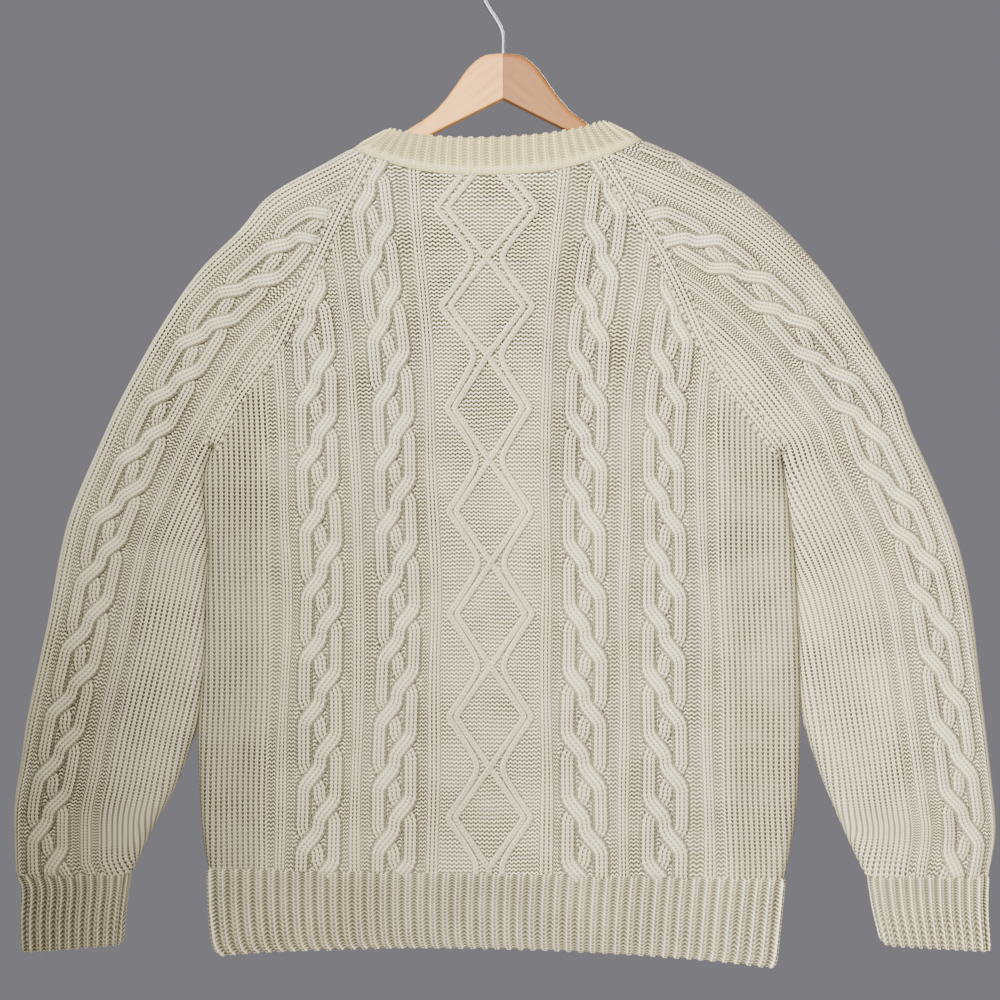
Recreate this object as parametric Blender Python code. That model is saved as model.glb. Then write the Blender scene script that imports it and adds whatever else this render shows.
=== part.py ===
"""Cable knit raglan sweater, hung flat on a wooden hanger with a wire hook.

Metres, +Z up. The back of the sweater faces -Y, and +X is on the right of someone who
looks at it. The origin is the inside top of the hook, where the rail lies that carries
the hanger. The middle plane of the flat sweater and of the hanger is y = 0: each layer
of cloth lies LAYER_DEPTH from it, and rounds over to it along the folds at its sides.

The tables are in millimetres, x and z as seen from the back.
"""

from collections import namedtuple
from math import acos, cos, exp, floor, hypot, pi, radians, sin, sqrt

import bmesh
import bpy
from mathutils import Vector

MM = 0.001

SIDE_OF_LAYER = {"back": -1, "fold": 0, "front": 1}

# Cloth, in metres
WALL = 0.003
SEAM_GAP = 0.0003
NECK_SEAM_GAP = 0.0008
UNDERARM_GAP = 0.0006
LAYER_DEPTH = 0.010
FOLD_REACH = 0.010

# How finely the cloth is divided
FOLD_TURNS = [radians(angle) for angle in (0, 30, 60, 90)]
PANEL_MIDDLE_COLUMNS = 11
SLEEVE_MIDDLE_COLUMNS = 2
BAND_HEIGHTS = (0.0, 0.5, 1.0)
SEAM_SHARE = 0.3
FOLD_SHARE = 0.55
PANEL_SHARE = 0.5
LEAST_SLANT = 0.5
SHARP_ANGLE = radians(40)
OUTLINE_STEP = 0.3
UNDERARM = 6
ARMHOLE_STATIONS = [step / 2 for step in range(2 * UNDERARM)] + [UNDERARM - 0.15]
SIDE_ROWS = 9
SLEEVE_ROWS = 11

Pair = namedtuple("Pair", "left_x left_z right_x right_z")
SleeveRow = namedtuple("SleeveRow", "fold_x fold_z seam_x seam_z")
Point = namedtuple("Point", "x z")
Part = namedtuple("Part", "share")
Crease = namedtuple("Crease", "layer x z half_width half_length lean height")

# The raglan seams, from the neck down to the underarm
ARMHOLES = (
    Pair(-119, -166, 90, -163),
    Pair(-144, -211, 118, -213),
    Pair(-162, -249, 141, -251),
    Pair(-180, -286, 159, -286),
    Pair(-204, -335, 182, -336),
    Pair(-237, -381, 212, -381),
    Pair(-262, -426, 251, -431),
)

# The sides of the body, from the underarm to the top of the hem rib
BODY_SIDES = (
    Pair(-262, -426, 251, -431),
    Pair(-270, -459, 256, -465),
    Pair(-266, -517, 263, -519),
    Pair(-268, -561, 266, -564),
    Pair(-269, -612, 268, -614),
    Pair(-275, -675, 268, -675),
    Pair(-274, -718, 267, -718),
    Pair(-272, -761, 263, -764),
    Pair(-266, -805, 254, -814),
)

HEM_RIB = (
    Pair(-266, -805, 254, -814),
    Pair(-265, -841, 250, -852),
    Pair(-261, -879, 246, -894),
)
HEM_BOW = 0.009

# Each sleeve: its fold, which is its middle line, against its raglan or underarm seam
LEFT_SLEEVE = (
    SleeveRow(-137, -157, -119, -166),
    SleeveRow(-158, -169, -144, -211),
    SleeveRow(-210, -199, -162, -249),
    SleeveRow(-237, -230, -180, -286),
    SleeveRow(-275, -269, -204, -335),
    SleeveRow(-309, -319, -237, -381),
    SleeveRow(-343, -380, -262, -426),
    SleeveRow(-360, -416, -271, -459),
    SleeveRow(-388, -481, -267, -517),
    SleeveRow(-399, -522, -269, -561),
    SleeveRow(-410, -582, -270, -612),
    SleeveRow(-422, -638, -276, -670),
    SleeveRow(-429, -672, -284, -695),
    SleeveRow(-435, -713, -298, -732),
    SleeveRow(-441, -755, -318, -769),
    SleeveRow(-439, -811, -337, -810),
)
RIGHT_SLEEVE = (
    SleeveRow(127, -149, 90, -163),
    SleeveRow(159, -169, 118, -213),
    SleeveRow(202, -186, 141, -251),
    SleeveRow(238, -213, 159, -286),
    SleeveRow(276, -252, 182, -336),
    SleeveRow(308, -294, 212, -381),
    SleeveRow(354, -373, 251, -431),
    SleeveRow(368, -411, 257, -465),
    SleeveRow(393, -467, 264, -519),
    SleeveRow(410, -513, 267, -564),
    SleeveRow(421, -562, 269, -614),
    SleeveRow(427, -609, 270, -641),
    SleeveRow(432, -654, 274, -675),
    SleeveRow(439, -713, 290, -724),
    SleeveRow(444, -771, 313, -778),
    SleeveRow(438, -811, 330, -813),
)

LEFT_CUFF = (
    SleeveRow(-439, -811, -337, -810),
    SleeveRow(-433, -824, -339, -824),
    SleeveRow(-434, -853, -342, -848),
    SleeveRow(-433, -880, -344, -873),
)
RIGHT_CUFF = (
    SleeveRow(438, -811, 330, -813),
    SleeveRow(437, -827, 332, -827),
    SleeveRow(437, -848, 335, -845),
    SleeveRow(439, -879, 342, -873),
)

# The neckband: the middle of its wall at the folds, and how far it dips between them
BAND_SEAM = Pair(-136, -158, 126, -150)
BAND_EDGE = Pair(-103, -141, 92, -134)
BAND_BACK_DIP = (0.028, 0.011)
BAND_FRONT_DIP = (0.083, 0.066)
BAND_CURVE_POWER = 2.4
FRONT_CORNERS_X = (-0.122, 0.102)

# How much of the neck's dip is left in a panel's rows, down its armholes
NECK_DIP_LEFT = tuple(Part(share) for share in (1.0, 0.72, 0.45, 0.22, 0.08, 0.0, 0.0))

# The largest soft hollows and swellings of the hanging cloth; height is outwards
CREASES = (
    Crease("back", 215, -609, 26, 130, 0.02, -3.0),
    Crease("back", -226, -776, 26, 60, 0.05, -2.5),
    Crease("back", 288, -519, 24, 60, 0.10, 2.5),
    Crease("back", -215, -318, 22, 30, 0.60, -2.0),
    Crease("front", -210, -560, 28, 140, -0.03, -3.0),
    Crease("front", 196, -740, 26, 80, 0.05, -2.5),
    Crease("front", -300, -500, 24, 70, -0.10, 2.5),
)

# Hanger, in metres
WIRE_RADIUS = 0.0018
WIRE_RESOLUTION = 3
WOOD_TOP = -0.071
STEM_IN_WOOD = 0.018
STEM_TOP = -0.056
BEND_RADIUS = 0.018
BEND_START = radians(206)
BEND_END = radians(-6)
BEND_STEPS = 20
STEM_HANDLE = 0.010
BEND_HANDLE = 0.009
SWEEP_STEPS = 8
DRILL_CLEARANCE = 0.0003
DRILL_SIDES = 16
MITRE_GAP = 0.0003
BOARD_THICKNESS = 0.012
TOP_ROUNDING = 0.0042
UNDER_ROUNDING = 0.0015
MIDDLE_DEPTH = 0.020
MIDDLE_SLOPE = 0.588
ROUNDING_STEPS = 3
OUTLINE_STEPS = 2

# One arm of the hanger, as distances out from the middle and down from its top, in mm
ARM_TOP = (
    Point(0, 0),
    Point(11, 0.8),
    Point(20, 3.6),
    Point(32, 14),
    Point(44, 31),
    Point(61, 52),
    Point(86, 69),
    Point(104, 77),
    Point(121, 85.5),
    Point(139, 92.5),
    Point(158, 102.6),
    Point(171, 111),
    Point(200, 129),
    Point(211, 138),
)
ARM_TIP = (Point(215, 144), Point(213, 150), Point(207, 152))
ARM_UNDER = (
    Point(199, 146),
    Point(171, 130),
    Point(139, 111),
    Point(104, 95),
    Point(60, 71),
    Point(40, 61),
    Point(20, 51),
    Point(0, 41),
)

KNIT_CREAM = (0.66, 0.62, 0.50, 1.0)
BAND_CREAM = (0.72, 0.66, 0.47, 1.0)
BEECH = (0.74, 0.50, 0.27, 1.0)
STEEL = (0.62, 0.62, 0.64, 1.0)

# A spot of cloth: where it lies, the way out of the garment there, and how far the
# cloth has turned from its fold, at 0, to its flat layer, at a right angle
Spot = namedtuple("Spot", "x z out_x out_z turn")


def catmull(before, start, end, after, share):
    """A number between start and end, on a smooth curve through all four."""
    straight = end - start
    slope_in = (end - before) / 2
    slope_out = (after - start) / 2
    square = share * share
    cube = square * share
    return (
        start
        + slope_in * share
        + (3 * straight - 2 * slope_in - slope_out) * square
        + (slope_in + slope_out - 2 * straight) * cube
    )


def on_curve(rows, station):
    """The row of a table at a station, which is a row's index or lies between two."""
    last = len(rows) - 1
    first = min(max(floor(station), 0), last - 1)
    share = station - first
    near = [rows[min(max(first + step, 0), last)] for step in (-1, 0, 1, 2)]
    return type(rows[0])(*(catmull(*values, share) for values in zip(*near)))


def metres(rows):
    """The same table in metres."""
    return [type(row)(*(value * MM for value in row)) for row in rows]


def evenly(first, last, count):
    """A number of values from first to last, both included."""
    return [first + (last - first) * step / (count - 1) for step in range(count)]


def unit(x, z):
    """The direction (x, z) with a length of one."""
    size = hypot(x, z)
    return x / size, z / size


def moved(point, direction, distance):
    """A point moved along a direction."""
    return Point(point.x + direction[0] * distance, point.z + direction[1] * distance)


def end_of(pair, side):
    """The left or the right point of a pair."""
    if side == "left":
        return Point(pair.left_x, pair.left_z)
    return Point(pair.right_x, pair.right_z)


def turn_at(inside):
    """How far the cloth has turned at a distance inside its fold."""
    share = min(max(inside, 0) / FOLD_REACH, 1)
    return acos(1 - share)


def rounding(length, share):
    """Distances into a row of some length for the columns that round the fold at its end."""
    reach = min(FOLD_REACH, length * share)
    return [reach * (1 - cos(turn)) for turn in FOLD_TURNS]


def crease_height(x, z, layer):
    """How far the creases push the cloth outwards at a point."""
    height = 0
    for crease in CREASES:
        if crease.layer != layer:
            continue
        down = crease.z * MM - z
        across = x - crease.x * MM - crease.lean * down
        spread = (across / (crease.half_width * MM)) ** 2
        spread += (down / (crease.half_length * MM)) ** 2
        height += crease.height * MM * exp(-spread)
    return height


def two_faces(spot, layer):
    """The outer and the inner point of the cloth's wall at a spot."""
    side = SIDE_OF_LAYER[layer]
    depth = max(LAYER_DEPTH * sin(spot.turn), SEAM_GAP / 2)
    depth += crease_height(spot.x, spot.z, layer) * sin(spot.turn) ** 2
    middle = Vector((spot.x, side * depth, spot.z))
    flat = cos(spot.turn) / FOLD_REACH
    steep = sin(spot.turn) / LAYER_DEPTH
    normal = Vector((spot.out_x * flat, side * steep, spot.out_z * flat)).normalized()
    return middle + normal * WALL / 2, middle - normal * WALL / 2


def material(name, colour, roughness, metallic=0.0):
    """A plain finish for one kind of piece."""
    finish = bpy.data.materials.new(name)
    finish.use_nodes = True
    shader = finish.node_tree.nodes["Principled BSDF"]
    shader.inputs["Base Color"].default_value = colour
    shader.inputs["Roughness"].default_value = roughness
    shader.inputs["Metallic"].default_value = metallic
    return finish


def place(name, shape, finish):
    """A new object that shows a bmesh, with a finish."""
    mesh = bpy.data.meshes.new(name)
    shape.to_mesh(mesh)
    shape.free()
    mesh.materials.append(finish)
    mesh.shade_smooth()
    mesh.set_sharp_from_angle(angle=SHARP_ANGLE)
    piece = bpy.data.objects.new(name, mesh)
    bpy.context.scene.collection.objects.link(piece)
    return piece


def join_rows(shape, first, second, ring):
    """Faces between two rows of points, which are open or close to a ring."""
    last = len(first) if ring else len(first) - 1
    for column in range(last):
        after = (column + 1) % len(first)
        shape.faces.new((first[column], first[after], second[after], second[column]))


def cloth_piece(name, grid, finish, ring=False):
    """A wall of cloth through rows of (spot, layer) pairs, each open or closed to a ring."""
    shape = bmesh.new()
    outer = []
    inner = []
    for row in grid:
        faces = [two_faces(spot, layer) for spot, layer in row]
        outer.append([shape.verts.new(face[0]) for face in faces])
        inner.append([shape.verts.new(face[1]) for face in faces])
    for upper, lower in zip(outer, outer[1:]):
        join_rows(shape, upper, lower, ring)
    for upper, lower in zip(inner, inner[1:]):
        join_rows(shape, lower, upper, ring)
    join_rows(shape, inner[0], outer[0], ring)
    join_rows(shape, outer[-1], inner[-1], ring)
    if not ring:
        for column in (0, -1):
            outer_edge = [row[column] for row in outer]
            inner_edge = [row[column] for row in inner]
            join_rows(shape, outer_edge, inner_edge, False)
    bmesh.ops.recalc_face_normals(shape, faces=shape.faces)
    return place(name, shape, finish)


def band_point(share, layer, height):
    """A point of the neckband: share runs from its left fold to its right, height from its seam to its edge."""
    seam, edge = metres([BAND_SEAM, BAND_EDGE])
    dips = BAND_BACK_DIP if layer == "back" else BAND_FRONT_DIP
    row = Pair(*(a + (b - a) * height for a, b in zip(seam, edge)))
    dip = dips[0] + (dips[1] - dips[0]) * height
    bowl = 1 - abs(2 * share - 1) ** BAND_CURVE_POWER
    x = row.left_x + (row.right_x - row.left_x) * share
    z = row.left_z + (row.right_z - row.left_z) * share - dip * bowl
    return Point(x, z)


def neck_fold(side):
    """The point where the neck seam passes over the fold at one side."""
    return end_of(metres([BAND_SEAM])[0], side)


def neck_share(x):
    """How far across the neck seam a point lies, from 0 at the left fold to 1."""
    seam = metres([BAND_SEAM])[0]
    return (x - seam.left_x) / (seam.right_x - seam.left_x)


def neck_seam(x, layer):
    """The height of the neck seam at x."""
    return band_point(neck_share(x), layer, 0).z


def neck_fold_direction(side):
    """The direction across the neckband's fold, away from the neck."""
    seam, edge = metres([BAND_SEAM, BAND_EDGE])
    low = end_of(seam, side)
    high = end_of(edge, side)
    along = unit(high.x - low.x, high.z - low.z)
    if side == "left":
        return -along[1], along[0]
    return along[1], -along[0]


def neck_spot(x, layer, side):
    """A spot on the neck seam, turned as the fold at one side turns it."""
    fold = neck_fold(side)
    out = neck_fold_direction(side)
    z = neck_seam(x, layer)
    inside = (fold.x - x) * out[0] + (fold.z - z) * out[1]
    return Spot(x, z, out[0], out[1], turn_at(inside))


def armhole_rows(layer):
    """The raglan seams of one layer. Those of the front start lower, at a deeper neck."""
    rows = metres(ARMHOLES)
    corners = (rows[0].left_x, rows[0].right_x) if layer == "back" else FRONT_CORNERS_X
    heights = [neck_seam(x, layer) for x in corners]
    rows[0] = Pair(corners[0], heights[0], corners[1], heights[1])
    return rows


def beside_raglan(x, z, side, layer):
    """A spot beside a raglan seam: flat, and rounding down to the underarm near it."""
    corner = end_of(metres(ARMHOLES)[-1], side)
    distance = hypot(corner.x - x, corner.z - z)
    out = unit(corner.x - x, corner.z - z)
    return Spot(x, z, out[0], out[1], turn_at(distance)), layer


def panel_columns(left, right):
    """Where a panel's columns lie between its two edges."""
    steps = rounding(right - left, PANEL_SHARE)
    middle = evenly(left + steps[-1], right - steps[-1], PANEL_MIDDLE_COLUMNS + 2)
    before = [left + step for step in steps[:-1]]
    after = [right - step for step in reversed(steps[:-1])]
    return before + middle + after


def upper_panel_row(layer, station):
    """A row of a panel between its raglan seams."""
    seams = armhole_rows(layer)
    row = on_curve(seams, station)
    dip = on_curve(NECK_DIP_LEFT, station).share
    left = row.left_x + SEAM_GAP / 2
    right = row.right_x - SEAM_GAP / 2
    spots = []
    for x in panel_columns(left, right):
        share = (x - left) / (right - left)
        straight = row.left_z + (row.right_z - row.left_z) * share
        neck_x = seams[0].left_x + (seams[0].right_x - seams[0].left_x) * share
        neck_line = seams[0].left_z + (seams[0].right_z - seams[0].left_z) * share
        z = straight + dip * (neck_seam(neck_x, layer) - neck_line)
        if station == 0:
            z = neck_seam(x, layer) - NECK_SEAM_GAP
        spots.append(beside_raglan(x, z, "left" if share < 0.5 else "right", layer))
    return spots


def side_row(row, layer, bow=0.0):
    """A row of a panel between its two side folds, bowed up in its middle."""
    left = row.left_x + WALL / 2
    right = row.right_x - WALL / 2
    spots = []
    for x in panel_columns(left, right):
        share = (x - left) / (right - left)
        z = row.left_z + (row.right_z - row.left_z) * share + bow * sin(pi * share)
        out = -1 if share < 0.5 else 1
        turn = turn_at(min(x - left, right - x))
        spots.append((Spot(x, z, out, 0, turn), layer))
    return spots


def panel(layer, finish):
    """The back or the front, from the neck to the hem rib."""
    grid = [upper_panel_row(layer, station) for station in ARMHOLE_STATIONS]
    sides = metres(BODY_SIDES)
    for station in evenly(0, len(sides) - 1, SIDE_ROWS):
        grid.append(side_row(on_curve(sides, station), layer))
    return cloth_piece(layer + "_panel", grid, finish)


def hem_rib(layer, finish):
    """The ribbed band below a panel."""
    table = metres(HEM_RIB)
    top = table[0]
    table[0] = top._replace(left_z=top.left_z - SEAM_GAP, right_z=top.right_z - SEAM_GAP)
    bows = evenly(0, HEM_BOW, len(table))
    grid = [side_row(row, layer, bow) for row, bow in zip(table, bows)]
    return cloth_piece(layer + "_hem_rib", grid, finish)


def sleeve_half(fold, seam, across, side, layer, open_seam):
    """Half a row of a sleeve, from its seam to its fold. An open seam is a raglan seam."""
    length = hypot(fold.x - seam.x, fold.z - seam.z)
    along = unit(fold.x - seam.x, fold.z - seam.z)
    slant = max(along[0] * across[0] + along[1] * across[1], LEAST_SLANT)
    near_fold = [step / slant for step in rounding(length * slant, FOLD_SHARE)]
    near_seam = rounding(length, SEAM_SHARE)
    middle = evenly(near_seam[-1], length - near_fold[-1], SLEEVE_MIDDLE_COLUMNS + 2)
    steps = near_seam[:-1] + middle + [length - step for step in reversed(near_fold[:-1])]
    row = []
    for step in steps:
        here = moved(seam, along, step)
        if step > length / 2:
            turn = turn_at((length - step) * slant)
            row.append((Spot(here.x, here.z, across[0], across[1], turn), layer))
        elif open_seam:
            row.append(beside_raglan(here.x, here.z, side, layer))
        else:
            row.append((Spot(here.x, here.z, -along[0], -along[1], turn_at(step)), layer))
    return row


def join_halves(back, front):
    """A row round a sleeve: from its seam at the back, over the fold, to its seam at the front."""
    fold, _ = back[-1]
    return back[:-1] + [(fold._replace(turn=0.0), "fold")] + front[-2::-1]


def sleeve_top_half(side, layer):
    """Half of a sleeve's top row, which follows the neck seam from the raglan corner to the fold."""
    corner = end_of(armhole_rows(layer)[0], side)
    outwards = -1 if side == "left" else 1
    start_x = corner.x + outwards * SEAM_GAP / 2
    start = Point(start_x, neck_seam(start_x, layer))
    across = neck_fold_direction(side)
    row = []
    for spot, _ in sleeve_half(neck_fold(side), start, across, side, layer, True):
        on_seam = neck_spot(spot.x, layer, side)
        row.append((on_seam._replace(z=on_seam.z - NECK_SEAM_GAP), layer))
    return row


def across_outline(rows, station, side):
    """The direction across a sleeve's fold, away from the arm."""
    ahead = on_curve(rows, min(station + OUTLINE_STEP, len(rows) - 1))
    behind = on_curve(rows, max(station - OUTLINE_STEP, 0))
    along = unit(ahead.fold_x - behind.fold_x, ahead.fold_z - behind.fold_z)
    if side == "left":
        return along[1], -along[0]
    return -along[1], along[0]


def armhole_row(rows, station, side):
    """A whole row of a sleeve between its two raglan seams."""
    if station == 0:
        return join_halves(sleeve_top_half(side, "back"), sleeve_top_half(side, "front"))
    row = on_curve(rows, station)
    across = across_outline(rows, station, side)
    fold = moved(Point(row.fold_x, row.fold_z), across, -WALL / 2)
    outwards = (-1, 0) if side == "left" else (1, 0)
    halves = []
    for layer in ("back", "front"):
        seam = end_of(on_curve(armhole_rows(layer), station), side)
        seam = moved(seam, outwards, SEAM_GAP / 2)
        halves.append(sleeve_half(fold, seam, across, side, layer, True))
    return join_halves(*halves)


def tube_row(row, across, side):
    """A whole row of a sleeve or a cuff below the underarm."""
    along = unit(row.fold_x - row.seam_x, row.fold_z - row.seam_z)
    fold = moved(Point(row.fold_x, row.fold_z), across, -WALL / 2)
    seam = moved(Point(row.seam_x, row.seam_z), along, WALL / 2 + UNDERARM_GAP)
    back = sleeve_half(fold, seam, across, side, "back", False)
    front = sleeve_half(fold, seam, across, side, "front", False)
    return join_halves(back, front)


def sleeve(side, table, finish):
    """One sleeve: a wall folded along its middle, and sewn to a tube below the underarm."""
    rows = metres(table)
    grid = [armhole_row(rows, station, side) for station in ARMHOLE_STATIONS]
    for station in evenly(UNDERARM, len(rows) - 1, SLEEVE_ROWS):
        across = across_outline(rows, station, side)
        grid.append(tube_row(on_curve(rows, station), across, side))
    return cloth_piece("sleeve_" + side, grid, finish)


def cuff(side, table, sleeve_table, finish):
    """The ribbed band at a sleeve's end, a closed ring."""
    across_sleeve = across_outline(metres(sleeve_table), len(sleeve_table) - 1, side)
    grid = []
    for index, row in enumerate(metres(table)):
        across = unit(row.fold_x - row.seam_x, row.fold_z - row.seam_z)
        if index == 0:
            row = row._replace(fold_z=row.fold_z - SEAM_GAP, seam_z=row.seam_z - SEAM_GAP)
            across = across_sleeve
        at_seam, *others, _ = tube_row(row, across, side)
        grid.append([(at_seam[0], "fold")] + others)
    return cloth_piece("cuff_" + side, grid, finish, ring=True)


def round_sleeve_top(side, first, second):
    """The columns of a sleeve's top row, from one layer over the fold to the other."""
    near = [(spot.x, first) for spot, _ in sleeve_top_half(side, first)]
    far = [(spot.x, second) for spot, _ in sleeve_top_half(side, second)]
    return near[:-1] + [(neck_fold(side).x, "fold")] + far[-2::-1]


def neckband(finish):
    """The ribbed band round the neck, a closed ring from its seam to its edge."""
    back = [(spot.x, "back") for spot, _ in upper_panel_row("back", 0)]
    front = [(spot.x, "front") for spot, _ in upper_panel_row("front", 0)]
    right = round_sleeve_top("right", "back", "front")
    left = round_sleeve_top("left", "front", "back")
    grid = []
    for height in BAND_HEIGHTS:
        ring = []
        for x, layer in back + right + front[::-1] + left:
            share = neck_share(x)
            low = neck_spot(x, layer, "left" if share < 0.5 else "right")
            here = band_point(share, layer, height)
            ring.append((low._replace(x=here.x, z=here.z), layer))
        grid.append(ring)
    return cloth_piece("neckband", grid, finish, ring=True)


def smooth_line(points):
    """A smooth line through points, with OUTLINE_STEPS to each stretch."""
    count = (len(points) - 1) * OUTLINE_STEPS
    return [on_curve(points, index / OUTLINE_STEPS) for index in range(count + 1)]


def board_outline():
    """The closed outline of the hanger's two arms before they are parted."""
    top = smooth_line(metres(ARM_TOP))
    under = smooth_line(metres(ARM_UNDER))
    right = top + metres(ARM_TIP) + under
    left = [Point(-point.x, point.z) for point in reversed(right[1:-1])]
    return [Point(point.x, WOOD_TOP - point.z) for point in right + left]


def is_under(edge):
    """Whether an edge of the board lies below the middle of its arm."""
    middle = (edge.verts[0].co + edge.verts[1].co) / 2
    return middle.z < WOOD_TOP - MIDDLE_DEPTH - MIDDLE_SLOPE * abs(middle.x)


def rounded_board():
    """The hanger's board as a bmesh, its upper edges rounded more than its lower ones."""
    shape = bmesh.new()
    half = BOARD_THICKNESS / 2
    front = shape.faces.new([shape.verts.new((x, -half, z)) for x, z in board_outline()])
    raised = bmesh.ops.extrude_face_region(shape, geom=[front])
    lifted = [item for item in raised["geom"] if isinstance(item, bmesh.types.BMVert)]
    bmesh.ops.translate(shape, verts=lifted, vec=(0, BOARD_THICKNESS, 0))
    bmesh.ops.recalc_face_normals(shape, faces=shape.faces)
    for below, rounding in ((False, TOP_ROUNDING), (True, UNDER_ROUNDING)):
        long_edges = [
            edge
            for edge in shape.edges
            if edge.verts[0].co.y == edge.verts[1].co.y
            and abs(edge.verts[0].co.y) > half - 0.00001
            and edge.calc_face_angle() > 1
            and is_under(edge) == below
        ]
        bmesh.ops.bevel(
            shape,
            geom=long_edges,
            offset=rounding,
            segments=ROUNDING_STEPS,
            profile=0.5,
            affect="EDGES",
            clamp_overlap=not below,
        )
    return shape


def drill():
    """The cutter for the hole that takes the hook's stem."""
    bpy.ops.mesh.primitive_cylinder_add(
        vertices=DRILL_SIDES,
        radius=WIRE_RADIUS + DRILL_CLEARANCE,
        depth=2 * (STEM_IN_WOOD + DRILL_CLEARANCE),
        location=(0, 0, WOOD_TOP),
    )
    cutter = bpy.context.object
    cutter.name = "drill"
    cutter.hide_render = True
    cutter.display_type = "WIRE"
    return cutter


def hanger_arm(side, cutter, finish):
    """One arm of the hanger, cut from the board at the mitre and drilled for the hook."""
    outwards = -1 if side == "left" else 1
    shape = rounded_board()
    cut = bmesh.ops.bisect_plane(
        shape,
        geom=shape.verts[:] + shape.edges[:] + shape.faces[:],
        plane_co=(outwards * MITRE_GAP / 2, 0, 0),
        plane_no=(outwards, 0, 0),
        clear_inner=True,
    )
    rim = [item for item in cut["geom_cut"] if isinstance(item, bmesh.types.BMEdge)]
    bmesh.ops.edgeloop_fill(shape, edges=rim)
    bmesh.ops.recalc_face_normals(shape, faces=shape.faces)
    arm = place("hanger_arm_" + side, shape, finish)
    hole = arm.modifiers.new("stem_hole", "BOOLEAN")
    hole.operation = "DIFFERENCE"
    hole.object = cutter
    return arm


def bezier(start, start_handle, end_handle, end, share):
    """A point on a cubic curve."""
    rest = 1 - share
    weights = (rest**3, 3 * rest**2 * share, 3 * rest * share**2, share**3)
    corners = (start, start_handle, end_handle, end)
    return tuple(sum(w * corner[axis] for w, corner in zip(weights, corners)) for axis in (0, 1))


def hook_line():
    """The middle of the hook's wire, from the foot of its stem to its open end."""
    centre_z = WIRE_RADIUS - BEND_RADIUS
    angles = evenly(BEND_START, BEND_END, BEND_STEPS + 1)
    bend = [(BEND_RADIUS * cos(angle), centre_z + BEND_RADIUS * sin(angle)) for angle in angles]
    first = bend[0]
    back_along = (-sin(BEND_START), cos(BEND_START))
    foot = (0, WOOD_TOP - STEM_IN_WOOD)
    stem = (0, STEM_TOP)
    stem_handle = (0, STEM_TOP + STEM_HANDLE)
    bend_handle = tuple(first[axis] + back_along[axis] * BEND_HANDLE for axis in (0, 1))
    shares = evenly(0, 1, SWEEP_STEPS + 1)
    sweep = [bezier(stem, stem_handle, bend_handle, first, share) for share in shares]
    return [foot] + sweep + bend[1:]


def hook(finish):
    """The steel wire hook, a curve with a round section."""
    line = hook_line()
    curve = bpy.data.curves.new("hanger_hook", "CURVE")
    curve.dimensions = "3D"
    curve.bevel_depth = WIRE_RADIUS
    curve.bevel_resolution = WIRE_RESOLUTION
    curve.use_fill_caps = True
    spline = curve.splines.new("POLY")
    spline.points.add(len(line) - 1)
    for point, (x, z) in zip(spline.points, line):
        point.co = (x, 0, z, 1)
    curve.materials.append(finish)
    wire = bpy.data.objects.new("hanger_hook", curve)
    bpy.context.scene.collection.objects.link(wire)
    return wire


def clear_scene():
    """Remove whatever the scene holds."""
    for item in list(bpy.data.objects):
        bpy.data.objects.remove(item, do_unlink=True)


def main():
    clear_scene()
    knit = material("cream_wool", KNIT_CREAM, 0.9)
    band_knit = material("neckband_wool", BAND_CREAM, 0.9)
    wood = material("beech", BEECH, 0.45)
    steel = material("hook_steel", STEEL, 0.3, 1.0)

    for layer in ("back", "front"):
        panel(layer, knit)
        hem_rib(layer, knit)
    for side, arm, wrist in (
        ("left", LEFT_SLEEVE, LEFT_CUFF),
        ("right", RIGHT_SLEEVE, RIGHT_CUFF),
    ):
        sleeve(side, arm, knit)
        cuff(side, wrist, arm, knit)
    neckband(band_knit)

    cutter = drill()
    for side in ("left", "right"):
        hanger_arm(side, cutter, wood)
    hook(steel)


main()
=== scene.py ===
"""Cable knit raglan sweater hung flat on a wooden hanger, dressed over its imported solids.

Metres, +Z up. The back of the sweater faces -Y and +X is on the right of someone who looks
at it. The middle plane of the flat sweater is y = 0. Each layer of cloth lies LAYER_DEPTH
from that plane and rounds over to it along the folds at its sides. Tables of points are
in millimetres.

A knit pattern follows each piece's own UV map: u counts wales, the columns of stitches,
and v counts courses, the rows of stitches, downwards.
"""

import logging
import math
from collections.abc import Callable
from dataclasses import dataclass, field, fields, replace
from enum import Enum
from typing import NamedTuple

import bpy
import numpy as np
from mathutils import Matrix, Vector


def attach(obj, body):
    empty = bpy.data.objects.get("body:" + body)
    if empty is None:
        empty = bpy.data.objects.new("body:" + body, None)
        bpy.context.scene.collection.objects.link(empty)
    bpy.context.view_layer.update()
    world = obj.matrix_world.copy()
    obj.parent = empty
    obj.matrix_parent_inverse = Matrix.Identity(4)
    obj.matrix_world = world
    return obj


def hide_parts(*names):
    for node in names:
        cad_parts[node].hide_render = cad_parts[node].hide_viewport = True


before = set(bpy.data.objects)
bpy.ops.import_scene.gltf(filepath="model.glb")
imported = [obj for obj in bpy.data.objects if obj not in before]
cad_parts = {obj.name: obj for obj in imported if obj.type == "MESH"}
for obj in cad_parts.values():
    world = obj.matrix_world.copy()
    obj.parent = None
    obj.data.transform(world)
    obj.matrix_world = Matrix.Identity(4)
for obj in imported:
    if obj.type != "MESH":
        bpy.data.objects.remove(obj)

Array = np.ndarray

MM = 0.001

# Cloth, in metres
WALL = 0.003
LAYER_DEPTH = 0.010
FOLD_REACH = 0.010
FOLD_SURPLUS = (math.pi / 2 - 1) * FOLD_REACH
SEAM_GAP = 0.0003
SEAM_TUCK = 0.0014
NECK_SEAM_GAP = 0.0008
UNDERARM_GAP = 0.0006
UNDERARM_OVERLAP = 0.0022
COURSE = 0.0036
WALE = 0.0048
FINE_WALE = 0.0039

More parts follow.
